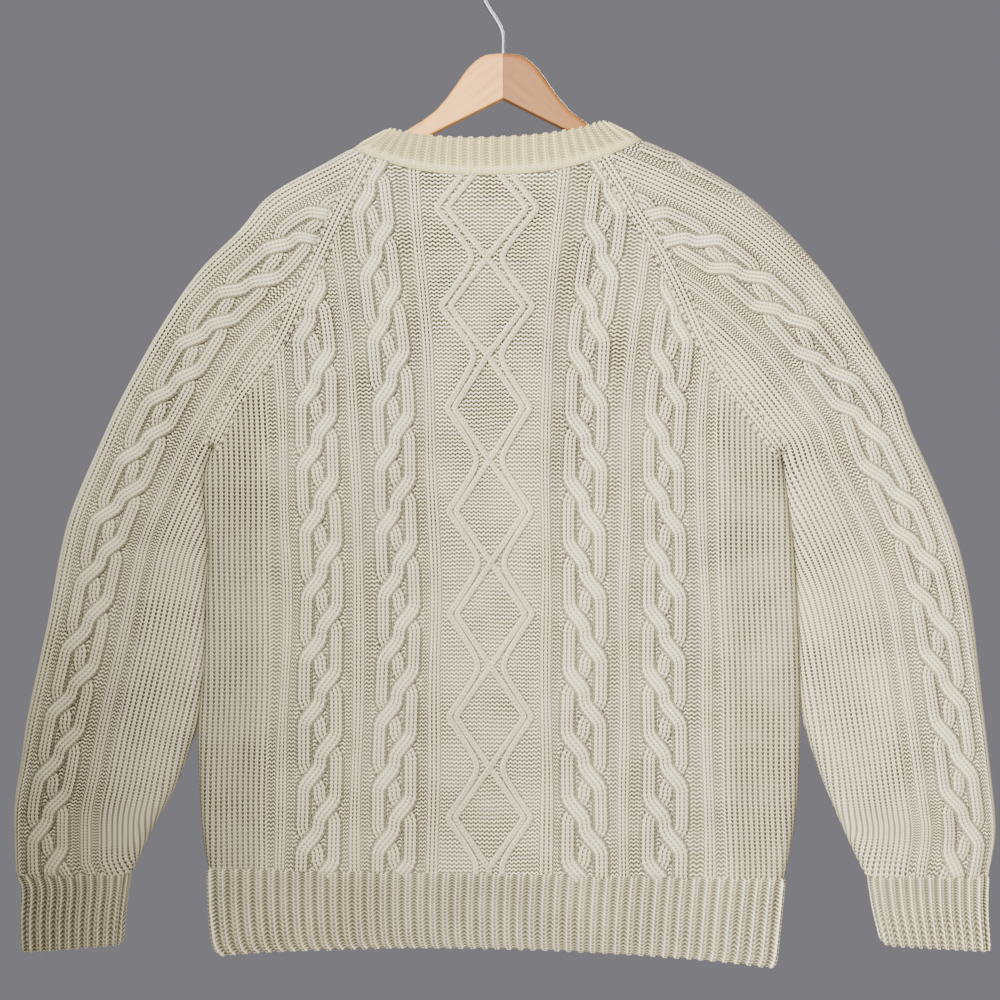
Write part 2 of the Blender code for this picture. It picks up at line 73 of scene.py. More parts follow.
# The lift of a strand at which its stitches are pulled shut, and how far their painted shade and
# relief are weakened there
CLOSED_LIFT = 0.0011
CLOSED_CALM = 0.4

# Where the two hidden points of a strand's section lie across it, how far below its skirt,
# and how dark their painted shade is
HIDDEN_PLACES = (0.6, -0.6)
HIDDEN_DEPTH = 0.0006
HIDDEN_SHADE = 0.9

# How dark the painted shade on the cut ends of strands and on the open edges of a wall is,
# and how far the painted shade and relief of their stitches are weakened
END_SHADE = 0.3
END_CALM = 0.5
RIM_SHADE = 0.15
RIM_CALM = 0.6

# How long an open stitch of the raglan shaping is, in courses, and how far out it begins; each
# is drawn as a spot of painted shade
OPEN_LENGTH = 0.8
OPEN_PLACE = 0.7

# The painted shade of a sunken band of purl: how dark it is, and how deep the band lies there
SUNK_SHADE = 0.32
SUNK_DEPTH = 0.0009

# Painted shade on the plain stitches of the body towards its side folds: how dark it is, and
# where it begins and is full, outwards from the last band
SIDE_SHADE = 0.34
SIDE_SHADE_REACH = (-0.004, 0.016)

# How far from a raglan seam the relief of the cloth comes back, how far from it a cable does,
# and how high above the ribs a cable does
SEAM_RELIEF = (0.004, 0.009)
SEAM_COVER = (0.0060, 0.0105)
RIB_COVER = (-0.0034, 0.0012)

# How many points a smooth line has for each row of its table, how many points the neck
# seam's line has, how far apart those of a sleeve's folds lie, and over how many of them to
# each side the way in from a fold is averaged
RAGLAN_STEPS = 10
BODY_STEPS = 9
SLEEVE_STEPS = 12
RIB_STEPS = 8
NECK_POINTS = 41
FOLD_STEP = 0.004
WAY_WINDOW = 13

# How far past its own place a point at a trimmed edge may take its stitches, in faces
MOST_MOVED = 3

# The UV map and the colour attribute that every knitted piece carries
STITCH_MAP = "stitches"
STITCH_KIND = "stitch_kind"

SHARP_ANGLE = math.radians(62)
BODY = "root"
HANGER_ARMS = ("hanger_arm_left", "hanger_arm_right")
LOG = logging.getLogger("sweater")


class Layer(Enum):
    """The two layers of a garment that hangs flat, by the sign of their side along y."""

    BACK = -1
    FRONT = 1

    @property
    def word(self) -> str:
        """Its word in the names of pieces."""
        return self.name.lower()


class Side(Enum):
    """The two sides of the garment as seen from its back, by the sign of their x."""

    LEFT = -1
    RIGHT = 1

    @property
    def word(self) -> str:
        """Its word in the names of pieces."""
        return self.name.lower()


class Knit(Enum):
    """How a band of the cloth is knitted."""

    STOCKING = "stocking"
    PURL = "purl"
    RIB = "rib"
    GROUND = "ground"
    BED = "bed"


class Pair(NamedTuple):
    """A left and a right point of the body."""

    left_x: float
    left_z: float
    right_x: float
    right_z: float


class SleeveRow(NamedTuple):
    """A point of a sleeve's fold against one of its seam."""

    fold_x: float
    fold_z: float
    seam_x: float
    seam_z: float


class Crease(NamedTuple):
    """A soft hollow or swelling of one layer."""

    layer: Layer
    x: float
    z: float
    half_width: float
    half_length: float
    lean: float
    height: float


ARMHOLES = (
    Pair(-119, -166, 90, -163),
    Pair(-144, -211, 118, -213),
    Pair(-162, -249, 141, -251),
    Pair(-180, -286, 159, -286),
    Pair(-204, -335, 182, -336),
    Pair(-237, -381, 212, -381),
    Pair(-262, -426, 251, -431),
)
BODY_SIDES = (
    ARMHOLES[-1],
    Pair(-270, -459, 256, -465),
    Pair(-266, -517, 263, -519),
    Pair(-268, -561, 266, -564),
    Pair(-269, -612, 268, -614),
    Pair(-275, -675, 268, -675),
    Pair(-274, -718, 267, -718),
    Pair(-272, -761, 263, -764),
    Pair(-266, -805, 254, -814),
)
HEM_RIB = (
    BODY_SIDES[-1],
    Pair(-265, -841, 250, -852),
    Pair(-261, -879, 246, -894),
)
LEFT_SLEEVE = (
    SleeveRow(-137, -157, -119, -166),
    SleeveRow(-158, -169, -144, -211),
    SleeveRow(-210, -199, -162, -249),
    SleeveRow(-237, -230, -180, -286),
    SleeveRow(-275, -269, -204, -335),
    SleeveRow(-309, -319, -237, -381),
    SleeveRow(-343, -380, -262, -426),
    SleeveRow(-360, -416, -271, -459),
    SleeveRow(-388, -481, -267, -517),
    SleeveRow(-399, -522, -269, -561),
    SleeveRow(-410, -582, -270, -612),
    SleeveRow(-422, -638, -276, -670),
    SleeveRow(-429, -672, -284, -695),
    SleeveRow(-435, -713, -298, -732),
    SleeveRow(-441, -755, -318, -769),
    SleeveRow(-439, -811, -337, -810),
)
RIGHT_SLEEVE = (
    SleeveRow(127, -149, 90, -163),
    SleeveRow(160, -163, 118, -213),
    SleeveRow(202, -186, 141, -251),
    SleeveRow(238, -213, 159, -286),
    SleeveRow(276, -252, 182, -336),
    SleeveRow(308, -294, 212, -381),
    SleeveRow(354, -373, 251, -431),
    SleeveRow(368, -411, 257, -465),
    SleeveRow(393, -467, 264, -519),
    SleeveRow(410, -513, 267, -564),
    SleeveRow(421, -562, 269, -614),
    SleeveRow(427, -609, 270, -641),
    SleeveRow(432, -654, 274, -675),
    SleeveRow(439, -713, 290, -724),
    SleeveRow(444, -771, 313, -778),
    SleeveRow(438, -811, 330, -813),
)
LEFT_CUFF = (
    LEFT_SLEEVE[-1],
    SleeveRow(-433, -824, -339, -824),
    SleeveRow(-434, -853, -342, -848),
    SleeveRow(-433, -880, -344, -873),
)
RIGHT_CUFF = (
    RIGHT_SLEEVE[-1],
    SleeveRow(437, -827, 332, -827),
    SleeveRow(437, -848, 335, -845),
    SleeveRow(439, -879, 342, -873),
)
UNDERARM_ROW = 6

BAND_SEAM = Pair(-136, -158, 126, -150)
BAND_EDGE = Pair(-103, -141, 92, -134)
BAND_BACK_DIP = (0.028, 0.011)
BAND_FRONT_DIP = (0.083, 0.066)
BAND_CURVE_POWER = 2.4
FRONT_CORNERS_X = (-0.122, 0.102)

CREASES = (
    Crease(Layer.BACK, 215, -609, 26, 130, 0.02, -3.0),
    Crease(Layer.BACK, -226, -776, 26, 60, 0.05, -2.5),
    Crease(Layer.BACK, 288, -519, 24, 60, 0.10, 2.5),
    Crease(Layer.BACK, -215, -318, 22, 30, 0.60, -2.0),
    Crease(Layer.FRONT, -210, -560, 28, 140, -0.03, -3.0),
    Crease(Layer.FRONT, 196, -740, 26, 80, 0.05, -2.5),
    Crease(Layer.FRONT, -300, -500, 24, 70, -0.10, 2.5),
)


def smooth_step(value: Array, start: float, end: float) -> Array:
    """A smooth rise from 0 at start to 1 at end."""
    share = np.clip((value - start) / (end - start), 0, 1)
    return share * share * (3 - 2 * share)


def smooth_curve(rows: Array, stations: Array) -> Array:
    """Rows of a table read between its rows, on one smooth curve through them all.

    Args:
        rows: The table, one row for each whole station.
        stations: The stations to read.

    Returns:
        One row for each station.
    """
    last = len(rows) - 1
    first = np.clip(np.floor(stations).astype(int), 0, last - 1)
    share = (stations - first)[:, None]
    before, start, end, after = (rows[np.clip(first + step, 0, last)] for step in (-1, 0, 1, 2))
    straight = end - start
    slope_in = (end - before) / 2
    slope_out = (after - start) / 2
    square = (3 * straight - 2 * slope_in - slope_out) * share**2
    cube = (slope_in + slope_out - 2 * straight) * share**3
    return start + slope_in * share + square + cube


def evened(line: Array, step: float) -> Array:
    """A line's points moved to even distances along it.

    Args:
        line: The points of the line.
        step: About how far apart the new points lie.

    Returns:
        The new points, both ends among them.
    """
    along = lengths(line)
    stations = np.linspace(0, along[-1], max(int(round(along[-1] / step)), 1) + 1)
    return np.stack([np.interp(stations, along, line[:, axis]) for axis in (0, 1)], axis=1)


def lengths(line: Array) -> Array:
    """How far along a line each of its points lies."""
    steps = np.hypot(*(line[1:] - line[:-1]).T)
    return np.concatenate([[0.0], np.cumsum(steps)])


def unit(vectors: Array) -> Array:
    """Vectors with a length of one."""
    return vectors / np.maximum(np.linalg.norm(vectors, axis=-1, keepdims=True), 1e-12)


class Nearest(NamedTuple):
    """The nearest place of a line to each of some points."""

    foot: Array
    distance: Array
    segment: Array
    along: Array


def nearest_on(points: Array, line: Array) -> Nearest:
    """The nearest place of an open line to each point.

    Args:
        points: The points, two numbers each.
        line: The points of the line, in order.

    Returns:
        The feet, the distances to them, their segments, and how far along the line they lie.
    """
    start = line[:-1]
    span = line[1:] - start
    size = np.maximum((span**2).sum(axis=1), 1e-18)
    along = lengths(line)
    found = []
    for chunk in np.array_split(points, max(len(points) // 6000, 1)):
        offset = chunk[:, None, :] - start[None]
        share = np.clip((offset * span).sum(axis=2) / size, 0, 1)
        miss = offset - share[..., None] * span
        segment = (miss**2).sum(axis=2).argmin(axis=1)
        row = np.arange(len(chunk))
        best = share[row, segment]
        foot = start[segment] + best[:, None] * span[segment]
        distance = along[segment] + best * (along[segment + 1] - along[segment])
        found.append((foot, np.hypot(*(chunk - foot).T), segment, distance))
    return Nearest(*(np.concatenate(values) for values in zip(*found)))


def inside_outline(points: Array, outline: Array) -> Array:
    """Which points lie inside a closed outline.

    Args:
        points: The points, two numbers each.
        outline: The corners of the outline, in order.

    Returns:
        True for each point inside.
    """
    start = outline
    end = np.roll(outline, -1, axis=0)
    rise = end[:, 1] - start[:, 1]
    rise = np.where(np.abs(rise) < 1e-15, 1e-15, rise)
    inside = []
    for chunk in np.array_split(points, max(len(points) // 6000, 1)):
        x, z = chunk[:, :1], chunk[:, 1:]
        crosses = (start[None, :, 1] > z) != (end[None, :, 1] > z)
        at = start[None, :, 0] + (z - start[None, :, 1]) / rise * (end[:, 0] - start[:, 0])[None]
        inside.append((crosses & (x < at)).sum(axis=1) % 2 == 1)
    return np.concatenate(inside)


def arc_of(inside: Array) -> Array:
    """How far round the cloth a point lies from a fold, by its distance inside the fold."""
    share = np.clip(inside / FOLD_REACH, 0, 1)
    return np.where(inside > FOLD_REACH, inside + FOLD_SURPLUS, FOLD_REACH * np.arccos(1 - share))


def inside_of(arc: Array) -> Array:
    """How far inside a fold a point lies, by its distance round the cloth from the fold."""
    quarter = math.pi / 2 * FOLD_REACH
    rounded = FOLD_REACH * (1 - np.cos(np.clip(arc, 0, quarter) / FOLD_REACH))
    return np.where(arc > quarter, arc - FOLD_SURPLUS, np.where(arc < 0, arc, rounded))


@dataclass(frozen=True)
class Fold:
    """A line along which the cloth rounds over from one layer to the other.

    Attributes:
        line: Its points, from the top down.
        side: The side of the line on which the outside of the garment lies.
    """

    line: Array
    side: Side

    def normals(self) -> Array:
        """The way out of the garment at each segment."""
        along = unit(self.line[1:] - self.line[:-1])
        return self.side.value * np.stack([-along[:, 1], along[:, 0]], axis=1)


@dataclass(frozen=True)
class Drape:
    """Where the cloth of one flat tube lies in space.

    Attributes:
        folds: The folds at its sides.
        ripple: The height of the small waves all over the cloth.
    """

    folds: tuple[Fold, ...]
    ripple: float = 0.0004

    def way_out(self, points: Array) -> tuple[Array, Array]:
        """The distance inside the nearest fold and the way out there, for each point.

        Args:
            points: x and z of each point.

        Returns:
            The distances, and the ways out.
        """
        distance = np.full(len(points), np.inf)
        out = np.zeros_like(points)
        for fold in self.folds:
            near = nearest_on(points, fold.line)
            towards = unit(near.foot - points)
            normal = fold.normals()[near.segment]
            towards = np.where(near.distance[:, None] > 0.0003, towards, normal)
            closer = near.distance < distance
            distance = np.where(closer, near.distance, distance)
            out = np.where(closer[:, None], towards, out)
        return distance, out

    def swelling(self, points: Array, side: Array) -> Array:
        """How far creases and ripples push the cloth outwards at each point.

        Args:
            points: x and z of each point.
            side: The sign of its layer.

        Returns:
            How far each point moves out.
        """
        x, z = points[:, 0], points[:, 1]
        height = self.ripple * np.sin(47 * x + 9 * z + 1.3 * side)
        height += self.ripple * np.sin(31 * z - 22 * x + 0.7 + side)
        for crease in CREASES:
            down = crease.z * MM - z
            across = x - crease.x * MM - crease.lean * down
            spread = (across / (crease.half_width * MM)) ** 2
            spread += (down / (crease.half_length * MM)) ** 2
            height += (side == crease.layer.value) * crease.height * MM * np.exp(-spread)
        return height

    def lay(self, points: Array, side: Array, height: Array) -> Array:
        """Points of the cloth in space.

        Args:
            points: x and z of each point.
            side: The sign of its layer.
            height: How far it lies outwards from the middle of the wall.

        Returns:
            x, y and z of each point.
        """
        distance, out = self.way_out(points)
        turn = np.arccos(1 - np.clip(distance / FOLD_REACH, 0, 1))
        depth = np.maximum(LAYER_DEPTH * np.sin(turn), SEAM_GAP / 2)
        depth = depth + self.swelling(points, side) * np.sin(turn) ** 2
        flat = np.cos(turn) / FOLD_REACH
        steep = np.sin(turn) / LAYER_DEPTH
        normal = unit(np.stack([out[:, 0] * flat, side * steep, out[:, 1] * flat], axis=1))
        middle = np.stack([points[:, 0], side * depth, points[:, 1]], axis=1)
        return middle + normal * height[:, None]


@dataclass
class Patch:
    """Faces of a knitted piece before they become a mesh.

    Attributes:
        points: x, y and z of its points.
        faces: Four point numbers each.
        uv: Wale and course at each corner of each face.
        purl: How much of each face is purl.
        shade: The painted shade at each corner of each face, from 0 to 1.
        calm: How far the painted shade and the relief of the stitches of each face are weakened,
            from 0 to 1.
    """

    points: Array
    faces: Array
    uv: Array
    purl: Array
    shade: Array
    calm: Array


def joined(patches: list[Patch]) -> Patch:
    """Several patches as one, each still with its own points.

    Args:
        patches: The patches, in order.

    Returns:
        The one patch.
    """
    starts = np.cumsum([0] + [len(patch.points) for patch in patches[:-1]])
    moved = [replace(patch, faces=patch.faces + start) for patch, start in zip(patches, starts)]
    names = [part.name for part in fields(Patch)]
    return Patch(*(np.concatenate([getattr(patch, name) for patch in moved]) for name in names))


def facing_out(patch: Patch) -> Patch:
    """A closed patch with its faces turned outwards.

    Args:
        patch: The patch.

    Returns:
        The same patch, or one with each face turned over.
    """
    corners = patch.points[patch.faces]
    first = np.cross(corners[:, 1] - corners[:, 0], corners[:, 2] - corners[:, 0])
    second = np.cross(corners[:, 2] - corners[:, 0], corners[:, 3] - corners[:, 0])
    volume = (corners[:, 0] * (first + second)).sum()
    if volume > 0:
        return patch
    return replace(patch, faces=patch.faces[:, ::-1], uv=patch.uv[:, ::-1],
                   shade=patch.shade[:, ::-1])


def mesh_object(name: str, patch: Patch, finish: bpy.types.Material) -> bpy.types.Object:
    """A knitted piece as an object that rides on the garment.

    Args:
        name: The name of the object.
        patch: Its faces.
        finish: Its material.

    Returns:
        The object, linked to the scene.
    """
    kept = [len(set(face)) > 2 for face in patch.faces.tolist()]
    faces = [list(dict.fromkeys(face)) for face, keep in zip(patch.faces.tolist(), kept) if keep]
    mesh = bpy.data.meshes.new(name)
    mesh.from_pydata(patch.points.tolist(), [], faces)
    corners = []
    for number, face in enumerate(patch.faces.tolist()):
        if kept[number]:
            corners += [4 * number + face.index(point) for point in dict.fromkeys(face)]
    uv = patch.uv.reshape(-1, 2)[corners]
    mesh.uv_layers.new(name=STITCH_MAP).data.foreach_set("uv", uv.astype(np.float32).ravel())
    # The colour attribute carries purl, painted shade and calm
    kind = np.zeros((len(corners), 4), np.float32)
    kind[:, 0] = np.repeat(patch.purl, 4)[corners]
    kind[:, 1] = patch.shade.reshape(-1)[corners]
    kind[:, 2] = np.repeat(patch.calm, 4)[corners]
    kind[:, 3] = 1
    mesh.color_attributes.new(STITCH_KIND, "FLOAT_COLOR", "CORNER")
    mesh.color_attributes[STITCH_KIND].data.foreach_set("color", kind.ravel())
    mesh.materials.append(finish)
    mesh.shade_smooth()
    mesh.set_sharp_from_angle(angle=SHARP_ANGLE)
    piece = bpy.data.objects.new(name, mesh)
    bpy.context.scene.collection.objects.link(piece)
    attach(piece, BODY)
    LOG.info("%s: %d faces", name, len(faces))
    return piece


def raised_piece(name: str, patch: Patch, finish: bpy.types.Material) -> bpy.types.Object:
    """Raised stitches on a sheet of cloth, in its yarn.

    Args:
        name: The name of the object.
        patch: Its faces.
        finish: Its material.

    Returns:
        The object.
    """
    piece = mesh_object(name, patch, finish)
    return piece


def cloth_piece(solid: str, patch: Patch, finish: bpy.types.Material) -> bpy.types.Object:
    """The cloth that is shown for one solid.

    Args:
        solid: The name of the solid.
        patch: The cloth's faces.
        finish: Its material.

    Returns:
        The cloth.
    """
    sheet = mesh_object(solid + "_cloth", patch, finish)
    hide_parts(solid)
    return sheet


def hung_sheet(piece: bpy.types.Object, width: float, length: float, rests_on: tuple[str, ...]) -> None:
    """Logs the cut of a hung piece of cloth; a tube's width is all round it."""
    LOG.info("%s: cut %.0f by %.0f mm", piece.name, width / MM, length / MM)


def at_corners(values: Array) -> Array:
    """The values at the four corners of each face of a grid, in order round it."""
    return np.stack([values[:-1, :-1], values[:-1, 1:], values[1:, 1:], values[1:, :-1]], 2)


@dataclass
class Grid:
    """The outer surface of a sheet of cloth as rows and columns of points.

    Attributes:
        points: x and z, rows by columns.
        side: The sign of each point's layer.
        height: How far the outer face stands above the wall's own face, by point or by column.
        v: The course at each point, or at each row.
        u_start: The wale at the left edge of each column of faces, for each row of points.
        u_end: The wale at its right edge.
        purl: How much of each column of faces is purl.
        shade: The painted shade at each point.
        calm: How far the stitches' painted shade and relief are weakened, by face or by row
            of faces.
    """

    points: Array
    side: Array
    height: Array
    v: Array
    u_start: Array
    u_end: Array
    purl: Array
    shade: Array
    calm: Array

    def __post_init__(self) -> None:
        """Gives each point and each column of faces values of its own."""
        rows, columns = self.side.shape
        self.height = np.broadcast_to(self.height, (rows, columns)).copy()
        self.v = np.broadcast_to(self.v, (rows, columns)).astype(float)
        self.u_start = np.broadcast_to(self.u_start, (rows, columns - 1)).copy()
        self.u_end = np.broadcast_to(self.u_end, (rows, columns - 1)).copy()

    def trimmed(self, outlines: dict[Layer, Array]) -> Array:
        """Moves what lies outside the outlines onto them.

        Args:
            outlines: The closed outline of each layer.

        Returns:
            Which faces are kept.
        """
        rows, columns = self.side.shape
        inside = np.zeros((rows, columns), bool)
        target = self.points.copy()
        for layer, outline in outlines.items():
            own = self.side == layer.value
            if not own.any():
                continue
            points = self.points[own]
            within = inside_outline(points, outline)
            closed = np.vstack([outline, outline[:1]])
            foot = nearest_on(points, closed).foot
            inside[own] = within
            target[own] = np.where(within[:, None], points, foot)
        kept = at_corners(inside).any(axis=2)
        moved = target - self.points
        down = np.gradient(self.points, axis=0)
        across = np.gradient(self.points, axis=1)
        size = across[..., 0] * down[..., 1] - across[..., 1] * down[..., 0]
        size = np.where(np.abs(size) < 1e-9, 1e-9, size)
        columns_moved = (moved[..., 0] * down[..., 1] - moved[..., 1] * down[..., 0]) / size
        rows_moved = (across[..., 0] * moved[..., 1] - across[..., 1] * moved[..., 0]) / size
        columns_moved = np.clip(columns_moved, -MOST_MOVED, MOST_MOVED)
        rows_moved = np.clip(rows_moved, -MOST_MOVED, MOST_MOVED)
        wales = self.u_end - self.u_start
        self.v = self.v + rows_moved * np.gradient(self.v, axis=0)
        self.u_start = self.u_start + columns_moved[:, :-1] * wales
        self.u_end = self.u_end + columns_moved[:, 1:] * wales
        self.points = target
        return kept

    def shell(self, drape: Drape, kept: Array | None = None, ring: bool = False,
              back_relief: float = 0.0) -> Patch:
        """The cloth as a closed wall.

        Args:
            drape: Where the cloth lies.
            kept: Which faces exist, or None for all of them.
            ring: Whether the last column joins the first.
            back_relief: How much of the outer relief the inner face shows.

        Returns:
            The wall's faces, outwards.
        """
        rows, columns = self.side.shape
        flat = self.points.reshape(-1, 2)
        side = self.side.reshape(-1).astype(float)
        height = self.height.reshape(-1)
        outer = drape.lay(flat, side, WALL / 2 + height)
        inner = drape.lay(flat, side, -WALL / 2 + back_relief * height)
        number = np.arange(rows * columns).reshape(rows, columns)
        if ring:
            number[:, -1] = number[:, 0]
        if kept is None:
            kept = np.ones((rows - 1, columns - 1), bool)
        faces = at_corners(number)[kept]
        u = np.stack([self.u_start[:-1], self.u_end[:-1], self.u_end[1:], self.u_start[1:]], 2)
        uv = np.stack([u, at_corners(self.v)], axis=3)[kept]
        # The outer face carries the painted shade; the inner face has none and the rim a little
        dark = at_corners(self.shade)[kept]
        purl = np.broadcast_to(self.purl, kept.shape)[kept]
        calm = np.broadcast_to(self.calm, kept.shape)[kept]
        count = rows * columns
        rim, rim_uv = self.rim(faces, uv, count)
        patch = Patch(
            np.concatenate([outer, inner]),
            np.concatenate([faces, faces[:, ::-1] + count, rim]),
            np.concatenate([uv, uv[:, ::-1], rim_uv]),
            np.concatenate([purl, 1 - purl, np.zeros(len(rim))]),
            np.concatenate([dark, dark[:, ::-1] * 0, np.full((len(rim), 4), RIM_SHADE)]),
            np.concatenate([calm, calm, np.full(len(rim), RIM_CALM)]),
        )
        return facing_out(welded(patch))

    @staticmethod
    def rim(faces: Array, uv: Array, count: int) -> tuple[Array, Array]:
        """Faces that close the open edges between the outer and the inner face.

        Args:
            faces: The outer faces.
            uv: Their wales and courses.
            count: How many points the outer face has.

        Returns:
            The rim's faces, and their wales and courses.
        """
        start = faces.reshape(-1)
        end = np.roll(faces, -1, axis=1).reshape(-1)
        at_start = uv.reshape(-1, 2)
        at_end = np.roll(uv, -1, axis=1).reshape(-1, 2)
        low = np.minimum(start, end).astype(np.int64)
        high = np.maximum(start, end).astype(np.int64)
        _, index, uses = np.unique(low * 10**7 + high, return_inverse=True, return_counts=True)
        alone = (uses[index.reshape(-1)] == 1) & (start != end)
        start, end, at_start, at_end = start[alone], end[alone], at_start[alone], at_end[alone]
        rim = np.stack([end, start, start + count, end + count], axis=1)
        step = np.array([0.0, 0.8])
        return rim, np.stack([at_end, at_start, at_start + step, at_end + step], axis=1)


def welded(patch: Patch, apart: float = 2e-5) -> Patch:
    """A patch whose points that coincide are one, with faces that lost their area left out.

    Args:
        patch: The patch.
        apart: How near points are that count as one.

    Returns:
        The welded patch.
    """
    key = np.round(patch.points / apart).astype(np.int64)
    _, first, index = np.unique(key, axis=0, return_index=True, return_inverse=True)
    faces = index.reshape(-1)[patch.faces]
    ordered = np.sort(faces, axis=1)
    distinct = 1 + (ordered[:, 1:] != ordered[:, :-1]).sum(axis=1)
    crossed = (faces[:, 0] == faces[:, 2]) | (faces[:, 1] == faces[:, 3])
    kept = (distinct > 2) & ~crossed
    looks = (patch.uv, patch.purl, patch.shade, patch.calm)
    return Patch(patch.points[first], faces[kept], *(values[kept] for values in looks))


@dataclass(frozen=True)
class Profile:
    """The cross section of a raised strand of stitches.

    Attributes:
        height: How far its middle stands above the wall.
        skirt: How far its edges reach below the wall's face.
        power: How flat its top is.
        points: How many points go over it.
        wales: How many wales it is wide.
        edge_shade: How dark the painted shade along its edges is.
        edge_reach: How far in from its edges that painted shade reaches, as a share of half its width.
        lobes: How deep the grooves between its wales are.
        calm: How far the painted shade and relief of its stitches are weakened.
    """

    height: float
    skirt: float
    power: float
    points: int
    wales: float
    edge_shade: float
    edge_reach: float = 0.16
    lobes: float = 0.0
    calm: float = 0.15

    def wale_at(self, places: Array) -> Array:
        """The wale at each place across it."""
        return (places + 1) / 2 * self.wales

    def across(self) -> Array:
        """Where its points lie across it, from -1 to 1, closer together at its edges."""
        return np.sin(np.linspace(-math.pi / 2, math.pi / 2, self.points))

    def rise(self) -> Array:
        """How far each point stands above the skirt's foot."""
        across = self.across()
        dome = (1 - np.abs(across) ** self.power) ** (1 / 1.6)
        grooves = self.lobes * (1 - np.abs(np.sin(math.pi * self.wales * (across + 1) / 2)) ** 0.7)
        return (self.height + self.skirt) * dome - grooves * (np.abs(across) < 0.93)


@dataclass(frozen=True)
class Ground:
    """The cloth that raised stitches lie on.

    Attributes:
        drape: Where it lies in space.
        chart: Turns places in the flat cut into x, z and the sign of the layer.
        cover: How much of a strand's height is left at each x and z, from 0 to 1.
    """

    drape: Drape
    chart: Callable[[Array], tuple[Array, Array]]
    cover: Callable[[Array], Array]


def flat_chart(layer: Layer) -> Callable[[Array], tuple[Array, Array]]:
    """The chart of a cut that is already x and z, on one layer."""
    return lambda places: (places, np.full(len(places), float(layer.value)))


@dataclass
class Strand:
    """A raised strand of stitches that runs over a layer of cloth.

    Attributes:
        centre: Its middle line, in the flat cut.
        width: How wide it is at each point.
        lift: How far each point is raised, as where it crosses another.
        profile: Its cross section.
        v_start: The course at its upper end.
        edge_dots: How many courses apart the open stitches along its edges lie, or 0.
        u_start: The wale at its left edge.
    """

    centre: Array
    width: Array
    lift: Array
    profile: Profile
    v_start: float = 0.0
    edge_dots: float = 0.0
    u_start: float = 0.0

    def patch(self, ground: Ground) -> Patch:
        """The strand as a closed form on the cloth.

        Args:
            ground: The cloth that it lies on.

        Returns:
            Its faces, outwards.
        """
        centre = self.centre
        along = unit(np.gradient(centre, axis=0))
        across = np.stack([-along[:, 1], along[:, 0]], axis=1)
        if across[:, 0].mean() < 0:
            across = -across
        place = self.profile.across()
        count, points = len(centre), len(place)
        places = np.concatenate([place, HIDDEN_PLACES])
        reach = places[None, :, None] * (self.width / 2)[:, None, None]
        flat = (centre[:, None, :] + reach * across[:, None, :]).reshape(-1, 2)
        shown, side = ground.chart(flat)
        ring = len(places)
        cover = ground.cover(shown).reshape(count, ring)
        top = cover[:, :points] * (self.profile.rise()[None] + self.lift[:, None])
        heights = np.full((count, ring), -self.profile.skirt - HIDDEN_DEPTH)
        heights[:, :points] = top - self.profile.skirt
        solid = ground.drape.lay(shown, side, WALL / 2 + heights.reshape(-1))
        number = np.arange(count * ring).reshape(count, ring)
        after = np.roll(number, -1, axis=1)
        faces = np.stack([number[:-1], after[:-1], after[1:], number[1:]], axis=2).reshape(-1, 4)
        wale = self.u_start + self.profile.wale_at(places)
        wale_after = np.roll(wale, -1)
        course = self.v_start + lengths(centre) / COURSE
        u = np.broadcast_to(np.stack([wale, wale_after, wale_after, wale], 1), (count - 1, ring, 4))
        v = np.stack([course[:-1], course[:-1], course[1:], course[1:]], axis=1)
        v = np.broadcast_to(v[:, None, :], (count - 1, ring, 4))
        # Painted shade along the strand's edges, on its hidden points and in its open stitches
        dark = self.darkness(place, course)
        dark_after = np.roll(dark, -1, axis=1)
        shade = np.stack([dark[:-1], dark_after[:-1], dark_after[1:], dark[1:]], axis=2)
        ends, ends_uv = self.caps(number, wale, course)
        pulled = np.clip(self.lift / CLOSED_LIFT, 0, 1)
        pulled = (pulled[:-1] + pulled[1:]) / 2
        calm = self.profile.calm + (CLOSED_CALM - self.profile.calm) * pulled
        patch = Patch(
            solid,
            np.concatenate([faces, ends]),
            np.concatenate([np.stack([u, v], axis=3).reshape(-1, 4, 2), ends_uv]),
            np.zeros(len(faces) + len(ends)),
            np.concatenate([shade.reshape(-1, 4), np.full((len(ends), 4), END_SHADE)]),
            np.concatenate([np.repeat(calm, ring), np.full(len(ends), END_CALM)]),
        )
        return facing_out(patch)

    def darkness(self, place: Array, course: Array) -> Array:
        """The strand's painted shade, by section and by point round it.

        Args:
            place: Where the points lie across it, from -1 to 1.
            course: The course at each section.

        Returns:
            The painted shade, with the two points below the cloth last.
        """
        edge = smooth_step(np.abs(place), 1 - self.profile.edge_reach, 1.0)
        edge = edge * self.profile.edge_shade
        dark = np.concatenate([edge, [HIDDEN_SHADE] * len(HIDDEN_PLACES)])
        dark = np.broadcast_to(dark, (len(course), len(dark)))
        if not self.edge_dots:
            return dark
        pit = np.mod(course, self.edge_dots) < OPEN_LENGTH
        at_edge = np.concatenate([np.abs(place) > OPEN_PLACE, [False] * len(HIDDEN_PLACES)])
        return np.maximum(dark, pit[:, None] * at_edge[None])

    @staticmethod
    def caps(number: Array, wale: Array, course: Array) -> tuple[Array, Array]:
        """Faces that close a strand's two ends.

        Args:
            number: The strand's point numbers, one row for each section.
            wale: The wale at each point of a section.
            course: The course at each section.

        Returns:
            The faces, and their wales and courses.
        """
        faces = []
        uv = []
        for row, turned in ((0, True), (-1, False)):
            ring = number[row]
            left, right = 0, len(ring) - 1
            while right - left > 1:
                face = [left, left + 1, right - 1, right]
                if turned:
                    face = face[::-1]
                faces.append([ring[point] for point in face])
                uv.append([(wale[point], course[row]) for point in face])
                left, right = left + 1, right - 1
        return np.array(faces), np.array(uv, float)


